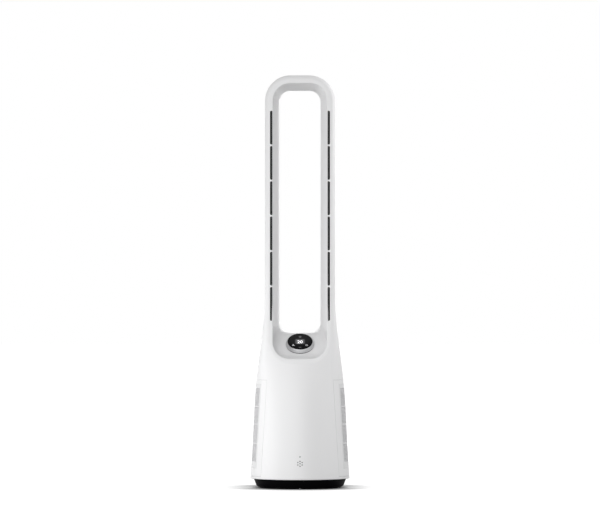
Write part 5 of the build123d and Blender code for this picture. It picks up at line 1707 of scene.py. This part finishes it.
def build_floor():
    """A pale floor that is white where it is lit and keeps the lamps' real shadow, with a contact
    shadow round the fan painted into its colour and its own light.
    """
    mesh = bpy.data.meshes.new("floor")
    r = FLOOR_SIZE / 2
    mesh.from_pydata([(-r, -r, 0), (r, -r, 0), (r, r, 0), (-r, r, 0)], [], [(0, 1, 2, 3)])
    floor = new_object("floor", mesh)
    material, tree, shader = blank("floor_white", Roughness=0.9, Specular_IOR_Level=0.0,
                                   Emission_Color=(1, 1, 1, 1))
    grain = group_in(tree, "moulded_surface", Colour=(*[FLOOR_GREY] * 3, 1), Tone=0.01)
    place = object_place(tree)
    far = put(tree, "ShaderNodeVectorMath", {"operation": "LENGTH"})
    connect(tree, far.inputs[0], place)
    white = remap(tree, far.outputs["Value"], *FLOOR_FADE, FLOOR_WHITE, 1.0)
    # painted shade: ambient occlusion, raised to a power that is stronger in front of the fan and
    # behind it, darkens the floor's colour and its own light near the fan
    open_share = put(tree, "ShaderNodeAmbientOcclusion", {"samples": 16},
                     Distance=FLOOR_SHADE_REACH)
    ahead = maths(tree, "ABSOLUTE", put(tree, "ShaderNodeSeparateXYZ", Vector=place).outputs["Y"])
    away = maths(tree, "MAXIMUM", far.outputs["Value"], FLOOR_SHADE_REACH)
    ahead = maths(tree, "DIVIDE", ahead, away)
    power = remap(tree, ahead, 0.0, 1.0, *FLOOR_SHADE_POWER)
    shade = maths(tree, "POWER", open_share.outputs["AO"], power)
    connect(tree, shader.inputs["Base Color"], scaled_colour(tree, grain["Colour"], shade))
    lit = maths(tree, "MULTIPLY", white, shade)
    connect(tree, shader.inputs["Emission Strength"], when_seen(tree, lit))
    mesh.materials.append(material)


def build_world(fill):
    world = bpy.data.worlds.new("studio")
    world.use_nodes = True
    tree = world.node_tree
    background = tree.nodes["Background"]
    strength = put(tree, "ShaderNodeMix", {"data_type": "FLOAT"})
    connect(tree, strength.inputs["Factor"], when_seen(tree, 1.0))
    connect(tree, strength.inputs["A"], fill)
    connect(tree, strength.inputs["B"], 1.0)
    background.inputs["Color"].default_value = (1, 1, 1, 1)
    connect(tree, background.inputs["Strength"], strength.outputs["Result"])
    bpy.context.scene.world = world


def build_camera(distance):
    camera = bpy.data.cameras.new("camera")
    camera.sensor_width = SENSOR_MM
    camera.lens = SENSOR_MM * distance / (PHOTO_WIDTH * PIXEL)
    camera.clip_end = distance + CLIP_BEHIND
    eye = new_object("camera", camera)
    eye.location = ((PHOTO_CENTRE[0] - PHOTO_MIDDLE_X) * PIXEL, -distance,
                    (PHOTO_FLOOR_Y - PHOTO_CENTRE[1]) * PIXEL)
    eye.rotation_euler = (math.radians(90), 0, 0)
    bpy.context.scene.camera = eye


# ================================================================ the add-on
class FAN_OT_shells(bpy.types.Operator):
    """Build the white shells and the two side covers."""
    bl_idname = "fan.shells"
    bl_label = "Shells and covers"

    def execute(self, context):
        build_shells(context.scene.fan_shell)
        build_collars(context.scene.fan_shell.slot_width)
        return {"FINISHED"}


class FAN_OT_grilles(bpy.types.Operator):
    """Build the perforated grilles of the two side covers."""
    bl_idname = "fan.grilles"
    bl_label = "Side grilles"

    def execute(self, context):
        build_grilles(context.scene.fan_grille)
        return {"FINISHED"}


class FAN_OT_dial(bpy.types.Operator):
    """Build the silver dial with its glass, number and signs."""
    bl_idname = "fan.dial"
    bl_label = "Dial and display"

    def execute(self, context):
        build_dial(context.scene.fan_display)
        return {"FINISHED"}


class FAN_OT_base(bpy.types.Operator):
    """Build the black foot."""
    bl_idname = "fan.base"
    bl_label = "Base"

    def execute(self, context):
        build_base()
        return {"FINISHED"}


class FAN_OT_parts(bpy.types.Operator):
    """Give the parts inside their finishes."""
    bl_idname = "fan.parts"
    bl_label = "Finishes of the parts"

    def execute(self, context):
        dress_parts()
        return {"FINISHED"}


class FAN_OT_stage(bpy.types.Operator):
    """Set up the floor, the lamps and the camera."""
    bl_idname = "fan.stage"
    bl_label = "Studio"

    def execute(self, context):
        stage = context.scene.fan_stage
        build_floor()
        build_world(stage.fill)
        for name, lamp in LAMPS.items():
            area_lamp(name, *lamp, getattr(stage, name))
        build_camera(stage.distance)
        context.scene.view_settings.view_transform = "Standard"
        return {"FINISHED"}


class FAN_PT_panel(bpy.types.Panel):
    """Everything that builds the fan, with its settings."""
    bl_idname = "FAN_PT_panel"
    bl_label = "Tower fan"
    bl_space_type = "VIEW_3D"
    bl_region_type = "UI"
    bl_category = "Fan"

    def draw(self, context):
        for group in GROUPS:
            box = self.layout.box()
            held = getattr(context.scene, group)
            for name in held.bl_rna.properties.keys():
                if name not in ("rna_type", "name"):
                    box.prop(held, name)
        for operator in OPERATORS:
            self.layout.operator(operator.bl_idname)


GROUPS = {"fan_shell": FanShellSettings, "fan_grille": FanGrilleSettings,
          "fan_display": FanDisplaySettings, "fan_stage": FanStageSettings}
OPERATORS = (FAN_OT_shells, FAN_OT_grilles, FAN_OT_dial, FAN_OT_base, FAN_OT_parts, FAN_OT_stage)


def register():
    for kind in (*GROUPS.values(), *OPERATORS, FAN_PT_panel):
        bpy.utils.register_class(kind)
    for name, kind in GROUPS.items():
        setattr(bpy.types.Scene, name, PointerProperty(type=kind))


def unregister():
    for name in GROUPS:
        delattr(bpy.types.Scene, name)
    for kind in reversed((*GROUPS.values(), *OPERATORS, FAN_PT_panel)):
        bpy.utils.unregister_class(kind)


def main():
    register()
    bpy.ops.fan.shells()
    bpy.ops.fan.grilles()
    bpy.ops.fan.dial()
    bpy.ops.fan.base()
    bpy.ops.fan.parts()
    bpy.ops.fan.stage()


if __name__ == "__main__":
    main()
